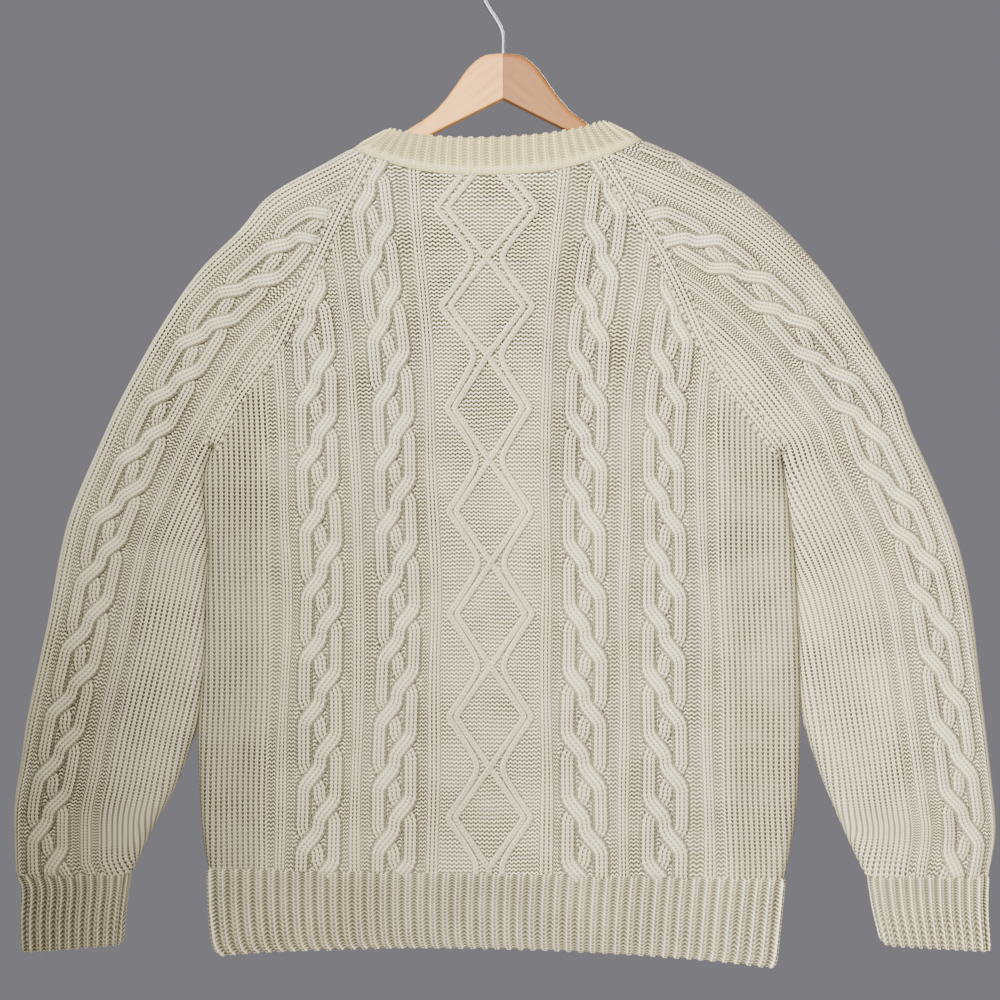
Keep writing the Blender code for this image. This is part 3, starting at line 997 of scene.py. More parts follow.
class Weaver:
    """Builds a shader's node tree, one named step at a time."""

    def __init__(self, name: str) -> None:
        """Starts a material with an empty Principled shader.

        Args:
            name: The name of the material.
        """
        self.material = bpy.data.materials.new(name)
        self.material.use_nodes = True
        self.tree = self.material.node_tree
        self.shader = self.tree.nodes["Principled BSDF"]

    def node(self, kind: str, **settings: object) -> bpy.types.Node:
        """A new node with some settings."""
        node = self.tree.nodes.new(kind)
        for name, value in settings.items():
            setattr(node, name, value)
        return node

    def feed(self, socket: bpy.types.NodeSocket, value: object) -> None:
        """Links a socket to another one, or sets its number or colour."""
        if isinstance(value, bpy.types.NodeSocket):
            self.tree.links.new(value, socket)
        else:
            socket.default_value = value

    def feed_all(self, node: bpy.types.Node, values: dict[str, object]) -> None:
        """Links or sets several inputs of a node."""
        for name, value in values.items():
            self.feed(node.inputs[name], value)

    def split(self, kind: str, value: object) -> bpy.types.NodeOutputs:
        """The three parts of a vector or a colour."""
        node = self.node(kind)
        self.feed(node.inputs[0], value)
        return node.outputs

    def relief(self, height: object, strength: float, distance: float) -> None:
        """Gives the surface a fine relief."""
        bump = self.node("ShaderNodeBump")
        self.feed_all(bump, {"Strength": strength, "Distance": distance, "Height": height})
        self.feed(self.shader.inputs["Normal"], bump.outputs["Normal"])

    def math(self, operation: str, *values: object) -> bpy.types.NodeSocket:
        """The result of a Math node."""
        node = self.node("ShaderNodeMath", operation=operation)
        for socket, value in zip(node.inputs, values):
            self.feed(socket, value)
        return node.outputs[0]

    def noise(self, where: object, scale: float, detail: float,
              roughness: float = 0.5) -> bpy.types.NodeSocket:
        """The value of a noise texture."""
        node = self.node("ShaderNodeTexNoise")
        self.feed_all(node, {"Vector": where, "Scale": scale, "Detail": detail,
                             "Roughness": roughness})
        return node.outputs["Fac"]

    def ramp(self, value: object, low: float, high: float, to_low: float = 0.0,
             to_high: float = 1.0) -> bpy.types.NodeSocket:
        """A value carried smoothly from one range to another."""
        node = self.node("ShaderNodeMapRange", interpolation_type="SMOOTHSTEP")
        self.feed_all(node, {"Value": value, "From Min": low, "From Max": high,
                             "To Min": to_low, "To Max": to_high})
        return node.outputs["Result"]

    def mix_value(self, share: object, first: object, second: object) -> bpy.types.NodeSocket:
        """Two values mixed."""
        node = self.node("ShaderNodeMix", data_type="FLOAT")
        self.feed(node.inputs[0], share)
        self.feed(node.inputs[2], first)
        self.feed(node.inputs[3], second)
        return node.outputs[0]

    def mix(self, share: object, first: object, second: object,
            blend: str = "MIX") -> bpy.types.NodeSocket:
        """Two colours mixed."""
        node = self.node("ShaderNodeMix", data_type="RGBA", blend_type=blend)
        self.feed(node.inputs[0], share)
        self.feed(node.inputs[6], first)
        self.feed(node.inputs[7], second)
        return node.outputs[2]


@dataclass(frozen=True)
class KnitFinish:
    """Knitted wool: stitches from the stitch map, with fuzz and with painted shade between them.

    Attributes:
        name: The name of the material.
        yarn: The colour of the yarn where no shade is painted.
        yarn_washed: Its colour in the patches that washing has changed.
        hollow: The painted shade down between the stitches.
        hole_depth: How dark the painted shade in the holes between stitches is.
    """

    name: str
    yarn: tuple[float, float, float, float]
    yarn_washed: tuple[float, float, float, float]
    hollow: tuple[float, float, float, float]
    hole_depth: float

    def build(self) -> bpy.types.Material:
        """The material."""
        weave = Weaver(self.name)
        uv = weave.node("ShaderNodeUVMap", uv_map=STITCH_MAP).outputs["UV"]
        place = weave.node("ShaderNodeTexCoord").outputs["Object"]
        u, v, _ = weave.split("ShaderNodeSeparateXYZ", uv)
        kind = weave.node("ShaderNodeVertexColor", layer_name=STITCH_KIND).outputs["Color"]
        purl, shade, calm = weave.split("ShaderNodeSeparateColor", kind)
        drift = weave.math("SUBTRACT", weave.noise(place, 110, 2), 0.5)
        sway = weave.math("SUBTRACT", weave.noise(place, 17, 1), 0.5)
        wale = weave.math("MULTIPLY_ADD", drift, 0.16, u)
        course = weave.math("MULTIPLY_ADD", drift, -0.3, v)
        course = weave.math("MULTIPLY_ADD", sway, 1.8, course)
        across = weave.math("MULTIPLY_ADD", weave.math("FRACT", wale), 2.0, -1.0)
        across = weave.math("ABSOLUTE", across)
        hole = weave.mix_value(purl, self.knit_holes(weave, across, course),
                               self.purl_holes(weave, across, course))
        fibre = weave.noise(place, 1500, 3, 0.65)
        # Depth of the painted shade in the holes: less where calm, a little less low down, random
        open_share = weave.math("MULTIPLY_ADD", calm, -0.6, 1.0)
        z = weave.split("ShaderNodeSeparateXYZ", place)[2]
        high_up = weave.ramp(z, -0.62, -0.16, self.hole_depth * 0.92, self.hole_depth)
        patchy = weave.ramp(weave.noise(place, 22, 2), 0.3, 0.7, 0.93, 1.06)
        depth = weave.math("MULTIPLY", weave.math("MULTIPLY", open_share, high_up), patchy)
        # Painted shade: the holes and the piece's shade mix the yarn towards the hollow colour
        clear = weave.math("MULTIPLY_ADD", shade, -0.85, 1.0)
        dark = weave.math("MULTIPLY", weave.math("MULTIPLY", hole, depth), clear)
        dark = weave.math("ADD", dark, weave.math("SUBTRACT", 1.0, clear))
        mottle = weave.ramp(weave.noise(place, 9, 3), 0.3, 0.7, 0.95, 1.03)
        speck = weave.ramp(fibre, 0.25, 0.75, 0.88, 1.1)
        tint = weave.math("MULTIPLY", mottle, speck)
        wash = weave.ramp(weave.noise(place, 5, 2), 0.35, 0.65)
        yarn = weave.mix(wash, self.yarn, self.yarn_washed)
        colour = weave.mix(dark, yarn, self.hollow)
        scale = weave.node("ShaderNodeCombineXYZ")
        for socket in scale.inputs:
            weave.feed(socket, tint)
        colour = weave.mix(1.0, colour, scale.outputs[0], "MULTIPLY")
        weave.feed_all(weave.shader, {"Base Color": colour, "Roughness": 0.92,
                                      "Specular IOR Level": 0.06})
        sunk = weave.math("SUBTRACT", 1.0, weave.math("MULTIPLY", hole, open_share))
        weave.relief(weave.math("MULTIPLY_ADD", fibre, 0.35, sunk), 0.4, 0.0013)
        return weave.material

    @staticmethod
    def knit_holes(weave: Weaver, across: bpy.types.NodeSocket,
                   course: bpy.types.NodeSocket) -> bpy.types.NodeSocket:
        """How open knit stitches are, which sets their painted shade and relief: a hole between the
        legs of each, and a line beside it.

        Args:
            weave: The shader.
            across: How far from the middle of its wale a place lies, from 0 to 1.
            course: The course.

        Returns:
            The openness, from 0 to 1.
        """
        leg = weave.math("FRACT", weave.math("MULTIPLY_ADD", across, 0.7, course))
        gap = weave.math("ABSOLUTE", weave.math("MULTIPLY_ADD", leg, 2.0, -1.0))
        dot = weave.math("MULTIPLY", weave.ramp(across, 0.82, 0.34), weave.ramp(gap, 0.0, 0.42))
        line = weave.math("MULTIPLY", weave.ramp(across, 0.74, 1.0), 0.8)
        seam = weave.math("MULTIPLY", weave.ramp(gap, 0.4, 1.0), 0.6)
        between = weave.math("MULTIPLY", weave.ramp(across, 0.42, 0.0), 0.75)
        faint = weave.math("MAXIMUM", weave.math("MAXIMUM", line, seam), between)
        return weave.math("MAXIMUM", dot, faint)

    @staticmethod
    def purl_holes(weave: Weaver, across: bpy.types.NodeSocket,
                   course: bpy.types.NodeSocket) -> bpy.types.NodeSocket:
        """How open purl stitches are, which sets their painted shade and relief: gaps between the waves
        of their bumps.

        Args:
            weave: The shader.
            across: How far from the middle of its wale a place lies, from 0 to 1.
            course: The course.

        Returns:
            The openness, from 0 to 1.
        """
        wave = weave.ramp(across, 0.0, 1.0, 0.0, -0.42)
        leg = weave.math("FRACT", weave.math("ADD", wave, course))
        gap = weave.math("ABSOLUTE", weave.math("MULTIPLY_ADD", leg, 2.0, -1.0))
        side = weave.math("ABSOLUTE", weave.math("MULTIPLY_ADD", across, 2.0, -1.0))
        spot = weave.ramp(side, 0.1, 0.9, 0.88, 1.0)
        return weave.math("MULTIPLY", weave.ramp(gap, 0.16, 0.52), spot)


@dataclass(frozen=True)
class WoodFinish:
    """Clear varnished beech.

    Attributes:
        name: The name of the material.
        pale: The colour of the wood between its grain lines.
        grain: The colour of its grain lines.
        slope: How many degrees its grain leans, down and out on both arms.
    """

    name: str
    pale: tuple[float, float, float, float]
    grain: tuple[float, float, float, float]
    slope: float = 38.0

    def build(self) -> bpy.types.Material:
        """The material."""
        weave = Weaver(self.name)
        place = weave.node("ShaderNodeTexCoord").outputs["Object"]
        mirror = weave.node("ShaderNodeVectorMath", operation="ABSOLUTE")
        weave.feed(mirror.inputs[0], place)
        turn = weave.node("ShaderNodeMapping")
        weave.feed_all(turn, {"Vector": mirror.outputs[0],
                              "Rotation": (0, math.radians(self.slope), 0)})
        rings = self.along_grain(weave, turn.outputs[0], (14, 120, 210), 4)
        pores = self.along_grain(weave, turn.outputs[0], (120, 900, 1300), 2)
        share = weave.ramp(rings, 0.4, 0.68)
        colour = weave.mix(weave.math("MULTIPLY", share, 0.6), self.pale, self.grain)
        flecks = weave.math("MULTIPLY", weave.ramp(pores, 0.58, 0.7), 0.35)
        colour = weave.mix(flecks, colour, self.grain)
        weave.feed_all(weave.shader, {"Base Color": colour, "Roughness": 0.42,
                                      "Specular IOR Level": 0.3})
        weave.relief(pores, 0.25, 0.0002)
        return weave.material

    @staticmethod
    def along_grain(weave: Weaver, place: bpy.types.NodeSocket, scale: tuple[int, int, int],
                    detail: int) -> bpy.types.NodeSocket:
        """Noise that is drawn out along the grain.

        Args:
            weave: The shader.
            place: The place, turned into the grain.
            scale: How fine the noise is along each axis.
            detail: How many finer layers it has.

        Returns:
            The noise, from 0 to 1.
        """
        stretch = weave.node("ShaderNodeVectorMath", operation="MULTIPLY")
        weave.feed(stretch.inputs[0], place)
        weave.feed(stretch.inputs[1], scale)
        return weave.noise(stretch.outputs[0], 1.0, detail, 0.6)


@dataclass(frozen=True)
class SteelFinish:
    """Bright steel wire.

    Attributes:
        name: The name of the material.
        colour: The colour of its reflections.
    """

    name: str = "hook_steel"
    colour: tuple[float, float, float, float] = (0.40, 0.40, 0.42, 1)

    def build(self) -> bpy.types.Material:
        """The material."""
        weave = Weaver(self.name)
        place = weave.node("ShaderNodeTexCoord").outputs["Object"]
        marks = weave.ramp(weave.noise(place, 160, 2), 0.3, 0.7, 0.3, 0.36)
        weave.feed_all(weave.shader, {"Base Color": self.colour, "Metallic": 1.0,
                                      "Roughness": marks})
        return weave.material


CREAM = KnitFinish("cream_knit", (0.88, 0.815, 0.52, 1), (0.86, 0.805, 0.53, 1),
                   (0.03, 0.023, 0.012, 1), 1.0)
BAND = KnitFinish("neckband_knit", (0.72, 0.635, 0.305, 1), (0.70, 0.62, 0.31, 1),
                  (0.07, 0.054, 0.023, 1), 0.95)


class BandRow(NamedTuple):
    """Where one side's bands of stitches lie at one height, in millimetres.

    The first two fields are that height and x of the edge of the diamond panel's ground. The
    others are the widths of the bands, outwards.
    """

    z: float
    ground: float
    inner_rib: float
    gap_1: float
    cable_1: float
    gap_2: float
    middle_rib: float
    gap_3: float
    cable_2: float
    gap_4: float
    outer_rib: float
    gap_5: float


LEFT_BANDS = (
    BandRow(-177, -75.6, 11.7, 14.4, 41.4, 9.9, 9.9, 9.0, 41.4, 5.0, 9.5, 8.0),
    BandRow(-276, -67.5, 9.5, 12.6, 41.4, 11.2, 8.1, 7.2, 41.4, 5.0, 9.5, 8.0),
    BandRow(-321, -63.9, 9.9, 8.2, 42.2, 10.2, 8.9, 5.7, 43.2, 5.0, 9.8, 8.0),
    BandRow(-366, -61.7, 9.9, 7.2, 41.8, 9.7, 9.8, 6.6, 42.8, 5.0, 10.0, 7.5),
    BandRow(-564, -54.9, 10.4, 6.7, 42.3, 9.0, 10.2, 7.4, 42.7, 5.0, 9.0, 10.3),
    BandRow(-798, -57.6, 11.9, 7.0, 44.6, 7.0, 10.3, 5.2, 44.8, 7.8, 10.2, 6.0),
)
RIGHT_BANDS = (
    BandRow(-177, 50.4, 10.4, 14.8, 42.3, 14.4, 9.9, 9.9, 43.2, 7.0, 10.0, 8.0),
    BandRow(-263, 41.4, 9.9, 13.5, 42.8, 13.9, 9.0, 10.8, 41.4, 7.0, 10.0, 8.0),
    BandRow(-335, 34.7, 9.4, 11.3, 42.7, 13.5, 8.1, 9.0, 43.2, 7.2, 9.9, 8.1),
    BandRow(-402, 33.8, 9.4, 9.0, 43.2, 10.8, 9.5, 8.5, 41.0, 5.9, 9.9, 8.6),
    BandRow(-564, 33.8, 9.4, 8.1, 43.7, 9.1, 9.7, 9.1, 43.2, 10.4, 9.9, 8.1),
    BandRow(-798, 32.8, 12.5, 3.5, 47.1, 7.2, 10.3, 8.9, 45.6, 12.0, 10.9, 8.9),
)

# The bands of one side, from the diamond panel outwards: how each is knitted, and its wales
PANEL_BANDS = (
    (Knit.RIB, 3),
    (Knit.PURL, 2),
    (Knit.BED, 9),
    (Knit.PURL, 2),
    (Knit.RIB, 3),
    (Knit.PURL, 2),
    (Knit.BED, 9),
    (Knit.PURL, 2),
    (Knit.RIB, 3),
    (Knit.PURL, 2),
)
FIRST_CABLE = 2
SECOND_CABLE = 6
GROUND_WALES = 11

# A knit column's holes lie along its edges in a rib, and down its middle elsewhere
RIB_SHIFT = 0.5


def relief_across(knit: Knit, wales: int) -> tuple[Array, Array]:
    """The columns of one band of stitches and how high each stands.

    Args:
        knit: How the band is knitted.
        wales: How many wales it has.

    Returns:
        Shares of the band's width from 0 to 1, and the heights there.
    """
    if knit is Knit.RIB:
        share = np.linspace(0, 1, 2 * wales + 1)
        heights = np.where(np.arange(2 * wales + 1) % 2, 1.35, 0.85)
        heights[[0, -1]] = -0.3
        return share, heights * MM
    if knit is Knit.BED:
        share = np.linspace(0, 1, 11)
        return share, np.where((share < 0.02) | (share > 0.98), -0.25, -0.5) * MM
    count = 2 * wales
    share = np.linspace(0, 1, count + 1)
    if knit is Knit.PURL:
        heights = np.full(count + 1, -0.9)
        heights[[0, -1]] = -0.3
        return share, heights * MM
    if knit is Knit.GROUND:
        return share, np.zeros(count + 1)
    heights = 0.45 + 0.12 * (-1.0) ** (np.arange(count + 1) + 1)
    return share, heights * MM


def smooth_table(heights: Array, rows: Array, at: Array, reach: float = 0.03) -> Array:
    """Columns of a table read at some heights, with the corners between rows rounded off.

    Args:
        heights: The height of each row, from the top down.
        rows: The rows.
        at: The heights to read.
        reach: How far up and down each value is averaged.

    Returns:
        One row for each height.
    """
    total = np.zeros((len(at), rows.shape[1]))
    steps = np.linspace(-reach, reach, 7)
    for step in steps:
        for column in range(rows.shape[1]):
            total[:, column] += np.interp(-(at + step), -heights, rows[:, column])
    return total / len(steps)


def table_of(rows: tuple) -> Array:
    """A table of named rows in metres."""
    return np.array([tuple(row) for row in rows], float) * MM


def curved(rows: tuple, steps: int) -> Array:
    """A table as smooth lines in metres, with a number of points for each of its rows."""
    last = len(rows) - 1
    return smooth_curve(table_of(rows), np.linspace(0, last, last * steps + 1))


def sunk_shade(heights: Array) -> Array:
    """The painted shade of the cloth where it is sunken."""
    return SUNK_SHADE * np.clip(-heights / SUNK_DEPTH, 0, 1)


def band_point(share: Array, layer: Layer, height: float) -> Array:
    """Points of the neckband.

    Args:
        share: How far across from the left fold to the right.
        layer: The layer.
        height: How far up from the neck seam, at 0, to its free edge, at 1.

    Returns:
        x and z of each point.
    """
    row = np.array(BAND_SEAM) * MM * (1 - height) + np.array(BAND_EDGE) * MM * height
    dips = BAND_BACK_DIP if layer is Layer.BACK else BAND_FRONT_DIP
    dip = dips[0] + (dips[1] - dips[0]) * height
    bowl = 1 - np.abs(2 * share - 1) ** BAND_CURVE_POWER
    x = row[0] + (row[2] - row[0]) * share
    z = row[1] + (row[3] - row[1]) * share - dip * bowl
    return np.stack([x, z], axis=-1)


def neck_seam(x: Array, layer: Layer) -> Array:
    """The height of the neck seam at each x.

    Args:
        x: The places across.
        layer: Which layer's seam it is.

    Returns:
        The height at each of them.
    """
    width = (BAND_SEAM.right_x - BAND_SEAM.left_x) * MM
    share = (np.asarray(x, float) - BAND_SEAM.left_x * MM) / width
    return band_point(np.clip(share, 0, 1), layer, 0.0)[..., 1]


def neck_line(start: float, end: float, layer: Layer, below: float, points: int) -> Array:
    """A line of points a little below a stretch of the neck seam."""
    x = np.linspace(start, end, points)
    return np.stack([x, neck_seam(x, layer) - below], axis=1)


def raglan_seam(side: Side, layer: Layer) -> Array:
    """The line of one raglan seam, from the neck down to the underarm.

    Args:
        side: Which shoulder it is on.
        layer: Which layer it is on.

    Returns:
        x and z of its points.
    """
    rows = table_of(ARMHOLES)
    corners = (rows[0, 0], rows[0, 2]) if layer is Layer.BACK else FRONT_CORNERS_X
    rows[0] = (corners[0], neck_seam(corners[0], layer), corners[1], neck_seam(corners[1], layer))
    fine = smooth_curve(rows, np.linspace(0, UNDERARM_ROW, UNDERARM_ROW * RAGLAN_STEPS + 1))
    return fine[:, :2] if side is Side.LEFT else fine[:, 2:]


def body_side(side: Side) -> Array:
    """The fold down one side of the body and of its hem rib.

    Args:
        side: Which side.

    Returns:
        x and z of its points, from the underarm down.
    """
    columns = slice(0, 2) if side is Side.LEFT else slice(2, 4)
    body = curved(BODY_SIDES, BODY_STEPS)[:, columns]
    hem = curved(HEM_RIB, RIB_STEPS)[:, columns]
    line = np.vstack([body, hem[1:]])
    return line - np.array([side.value * WALL / 2, 0])


class BodyLayout:
    """Where the wales of the body lie, at every height."""

    def __init__(self) -> None:
        """Lays the body's cloth between its two side folds."""
        self.drape = Drape((Fold(body_side(Side.LEFT), Side.LEFT),
                            Fold(body_side(Side.RIGHT), Side.RIGHT)))

    @staticmethod
    def middle(z: Array) -> Array:
        """x of the middle of the diamond panel."""
        return np.interp(-z, [0.312, 0.53, 0.57, 0.8], [-0.0144, -0.0108, -0.0108, -0.0126])

    @staticmethod
    def borders(side: Side, z: Array) -> Array:
        """x of the borders between one side's bands, from the diamond panel outwards.

        Args:
            side: Which half.
            z: The height of each row.

        Returns:
            x by row and border.
        """
        rows = table_of(LEFT_BANDS if side is Side.LEFT else RIGHT_BANDS)
        values = smooth_table(rows[:, 0], rows[:, 1:], z)
        values[:, 1:] = values[:, :1] + side.value * np.cumsum(values[:, 1:], axis=1)
        sway = 0.0007 * np.sin(33 * z[:, None] + np.arange(11)[None])
        return values + sway

    def fold_x(self, side: Side, z: Array) -> Array:
        """x of the side fold at each height, and straight up above the underarm."""
        line = body_side(side)
        return np.interp(-z, -line[:, 1], line[:, 0])


@dataclass(frozen=True)
class Cable:
    """A plait of three strands.

    Attributes:
        period: The length of one repeat.
        start: Where its first outer crossing lies along it.
        mirrored: Whether its upper strands run down to the side of the body's middle.
        crossing: How long each crossing is, as a share of the period.
        over: How far a strand lifts over another.
        under: How far it sinks under one.
        profile: The cross section of a strand.
    """

    period: float
    start: float
    mirrored: bool
    crossing: float = 0.45
    over: float = 0.0011
    under: float = 0.0019
    profile: Profile = Profile(0.0032, 0.0008, 2.7, 13, 4, 1.0, 0.30, 0.0004, calm=0.05)

    def offset(self, along: Array, strand: int) -> tuple[Array, Array]:
        """Where one strand lies across the cable, and how far it is lifted.

        Args:
            along: Distances along the cable.
            strand: Which of the three strands.

        Returns:
            Its place from -1 to 1, and its lift.
        """
        turn = np.mod((along - self.start) / self.period + strand, 3.0)
        half = self.crossing / 2
        place = np.ones_like(turn)
        for centre, change in ((0.0, -1), (0.5, -1), (1.5, 1), (2.0, 1), (3.0, -1)):
            place += change * smooth_step(turn, centre - half, centre + half)
        over = np.zeros_like(turn)
        for centre in (0.0, 0.5, 3.0):
            over = np.maximum(over, self.nearness(turn - centre))
        under = np.maximum(self.nearness(turn - 1.5), self.nearness(turn - 2.0))
        lift = self.over * over - self.under * under
        return (-place if self.mirrored else place), lift

    def nearness(self, miss: Array) -> Array:
        """How near a crossing's centre is, from 0 beyond its ends to 1 there."""
        return smooth_step(-np.abs(miss), -self.crossing * 0.62, -self.crossing * 0.12)


@dataclass(frozen=True)
class Diamonds:
    """Two pairs of travelling stitches that make a column of diamonds.

    Attributes:
        crossings: The heights at which the inner pair crosses, in millimetres.
        widest: How far from the middle the inner pair travels between them.
        spacing: How far outside the inner pair the outer pair runs.
        least: How near the middle the outer pair comes, as a share of its own curve.
        width: How wide each line of stitches is.
        profile: Its cross section.
    """

    crossings: tuple[float, ...] = (-168.0, -256.4, -344.6, -438.2, -530.0, -622.7, -713.6, -803.6)
    widest: tuple[float, ...] = (36.0, 33.3, 31.0, 31.0, 31.0, 31.0, 31.0)
    spacing: tuple[float, float] = (0.0095, 0.0062)
    least: float = 0.0055
    width: float = 0.0062
    profile: Profile = Profile(0.0036, 0.0008, 2.6, 11, 1, 1.0, 0.34, calm=0.6)

    def inner(self, z: Array) -> Array:
        """How far right of the middle the line runs that starts at the left below each crossing.

        Args:
            z: The heights.

        Returns:
            How far right, at each height.
        """
        heights = [self.crossings[0]]
        places = [0.0]
        for index, reach in enumerate(self.widest):
            sign = 1 if index % 2 else -1
            heights.append((self.crossings[index] + self.crossings[index + 1]) / 2)
            places.append(sign * reach)
            heights.append(self.crossings[index + 1])
            places.append(0.0)
        fine = np.arange(-0.10, -0.86, -0.001)
        zigzag = np.interp(-fine, -np.array(heights) * MM, np.array(places) * MM)
        kernel = np.hanning(9)
        rounded = np.convolve(zigzag, kernel / kernel.sum(), mode="same")
        return np.interp(-z, -fine, rounded)

    def outer(self, z: Array, inner: Array) -> Array:
        """How far from the middle the outer pair runs."""
        spacing = np.interp(-z, [0.2, 0.4], list(self.spacing))
        return spacing + np.sqrt(inner**2 + self.least**2)


DIAMONDS = Diamonds()

# How far apart a strand's sections lie, how wide a strand is for its share of the cable, how
# far the strands spread, and how many courses each strand's stitches lie after the last one's
STRAND_STEP = 0.0021
STRAND_WIDTH = 1.04
CABLE_SPREAD = 0.98
STRAND_SHIFT = 0.37
LEFT_CABLE = Cable(0.0572, 0.2359, False)
RIGHT_CABLE = Cable(0.0572, 0.2359, True)
BODY_CABLES = {Side.LEFT: (LEFT_CABLE, LEFT_CABLE), Side.RIGHT: (RIGHT_CABLE, RIGHT_CABLE)}


def plaited(cable: Cable, along: Array, middle: Array, pitch: Array, ground: Ground,
            line_of: Callable[[Array], Array], shown: Callable[[Array], Array]) -> Patch:
    """The three strands of a cable on their ground.

    Args:
        cable: The plait.
        along: Distances along it.
        middle: Where its middle lies across the cut at each of them.
        pitch: How wide a third of it is there.
        ground: The cloth that it lies on.
        line_of: Turns places across the cut into points of the flat cut.
        shown: Which points of a strand are needed.

    Returns:
        The strands as one patch.
    """
    patches = []
    for number in range(3):
        place, lift = cable.offset(along, number)
        centre = line_of(middle + place * pitch * CABLE_SPREAD)
        kept = shown(centre)
        strand = Strand(centre[kept], (pitch * STRAND_WIDTH)[kept], lift[kept], cable.profile,
                        STRAND_SHIFT * number)
        patches.append(strand.patch(ground))
    return joined(patches)


@dataclass
class Panel:
    """The back or the front of the body, with its cables and diamonds.

    Attributes:
        layer: Which of the two it is.
        layout: Where its wales lie.
        finish: Its material.
        side_wales: How many wales of plain stocking stitch lie beyond its outer ribs.
        row_step: How many courses each row of faces spans.
    """

    layer: Layer
    layout: BodyLayout
    finish: bpy.types.Material
    side_wales: int = 25
    row_step: int = 2

    @property
    def name(self) -> str:
        """The name of its solid."""
        return self.layer.word + "_panel"

    def outline(self) -> Array:
        """The closed outline of the panel's cut."""
        gap = SEAM_GAP / 2
        left = raglan_seam(Side.LEFT, self.layer) + np.array([gap, 0])
        right = raglan_seam(Side.RIGHT, self.layer) - np.array([gap, 0])
        neck = neck_line(left[0, 0], right[0, 0], self.layer, NECK_SEAM_GAP, NECK_POINTS)
        body = curved(BODY_SIDES, BODY_STEPS)
        left_side = body[:, :2] + np.array([WALL / 2, 0])
        right_side = body[:, 2:] - np.array([WALL / 2, 0])
        return np.vstack([left[:0:-1], neck, right[1:-1], right_side, left_side[::-1]])

    def grid(self) -> Grid:
        """The panel's outer face, overshooting its outline."""
        outline = self.outline()
        top = math.ceil(-outline[:, 1].max() / COURSE) - 2 * self.row_step
        bottom = math.ceil(-outline[:, 1].min() / COURSE) + 2 * self.row_step
        courses = np.arange(top, bottom + self.row_step, self.row_step)
        z = -courses * COURSE
        left, right = (self.half(side, z) for side in Side)
        x = np.hstack([left[0][:, ::-1], right[0][:, 1:]])
        height = np.concatenate([left[1][::-1], right[1][1:]])
        u_start = np.concatenate([-left[3][::-1], right[2]])
        u_end = np.concatenate([-left[2][::-1], right[3]])
        purl = np.concatenate([left[4][::-1], right[4]])
        points = np.stack([x, np.broadcast_to(z[:, None], x.shape)], axis=2)
        # Painted shade in sunken purl, and on the plain stitches towards the side folds
        last = [np.abs(self.layout.borders(side, z)[:, -1:]) for side in Side]
        beyond = np.where(x < 0, -x - last[0], x - last[1])
        shade = np.maximum(sunk_shade(height), SIDE_SHADE * smooth_step(beyond, *SIDE_SHADE_REACH))
        return Grid(points, np.full(x.shape, self.layer.value), height, courses[:, None],
                    u_start, u_end, purl, shade, np.zeros((1, 1)))

    def half(self, side: Side, z: Array) -> tuple[Array, Array, Array, Array, Array]:
        """The columns of one half, from the middle outwards.

        Args:
            side: Which half.
            z: The height of each row.

        Returns:
            x by row and column, heights, first and last wale of each column of faces, purl.
        """
        middle = self.layout.middle(z)
        borders = self.layout.borders(side, z)
        ground = borders[:, 0]
        shares, heights = relief_across(Knit.GROUND, GROUND_WALES)
        x = [middle[:, None] + (ground - middle)[:, None] * shares[None]]
        height = [heights[:-1], np.array([-0.2 * MM])]
        wale = shares * GROUND_WALES
        starts = [wale[:-1]]
        ends = [wale[1:]]
        purl = [np.ones(len(shares) - 1)]
        for index, (knit, wales) in enumerate(PANEL_BANDS):
            shares, heights = relief_across(knit, wales)
            start = borders[:, index]
            width = borders[:, index + 1] - start
            x.append(start[:, None] + width[:, None] * shares[None, 1:])
            height.append(heights[1:])
            wale = shares * wales + (RIB_SHIFT if knit is Knit.RIB else 0)
            starts.append(wale[:-1])
            ends.append(wale[1:])
            purl.append(np.full(len(shares) - 1, 0.0 if knit is Knit.RIB else 1.0))
        shares, heights = relief_across(Knit.STOCKING, self.side_wales)
        x.append(self.plain_x(side, z, borders[:, -1], shares[1:] * self.side_wales * WALE))
        height.append(heights[1:])
        wale = shares * self.side_wales
        starts.append(wale[:-1])
        ends.append(wale[1:])
        purl.append(np.zeros(len(shares) - 1))
        return (np.hstack(x), np.concatenate(height), np.concatenate(starts),
                np.concatenate(ends), np.concatenate(purl))

    def plain_x(self, side: Side, z: Array, start: Array, along: Array) -> Array:
        """x of the columns of plain stitches, which round over the side fold.

        Args:
            side: Which half.
            z: The height of each row.
            start: x of the last border.
            along: How far round the cloth from there each column lies.

        Returns:
            x by row and column.
        """
        sign = side.value
        flat = start[:, None] + sign * along[None]
        fold = self.layout.fold_x(side, z)
        arc = (np.abs(fold - start) + FOLD_SURPLUS)[:, None] - along[None]
        round_over = fold[:, None] - sign * inside_of(arc)
        corner = raglan_seam(side, self.layer)[-1, 1]
        share = smooth_step(-z, -corner - 0.03, -corner + 0.005)[:, None]
        return flat * (1 - share) + round_over * share

    def build(self) -> None:
        """Adds the panel's pieces, with the bands along its raglan seams."""
        grid = self.grid()
        outline = self.outline()
        kept = grid.trimmed({self.layer: outline})
        self.sink_towards_seams(grid)
        sheet = cloth_piece(self.name, grid.shell(self.layout.drape, kept), self.finish)
        trims = [self.diamonds()]
        for side in Side:
            for index, cable in enumerate(BODY_CABLES[side]):
                trims.append(self.cable(side, index, cable))
            trims.append(RaglanBand(side, self.layer).build(self.layout.drape, self.finish))
        size = np.ptp(outline, axis=0)
        sides = 2 * FOLD_SURPLUS
        hung_sheet(sheet, float(size[0]) + sides, float(size[1]), HANGER_ARMS)

    def top_line(self) -> Array:
        """The panel's upper edge, from the left underarm over the neck to the right one."""
        left = raglan_seam(Side.LEFT, self.layer)[::-1]
        right = raglan_seam(Side.RIGHT, self.layer)
        neck = neck_line(left[-1, 0], right[0, 0], self.layer, 0.0, NECK_POINTS)
        return np.vstack([left, neck[1:-1], right])

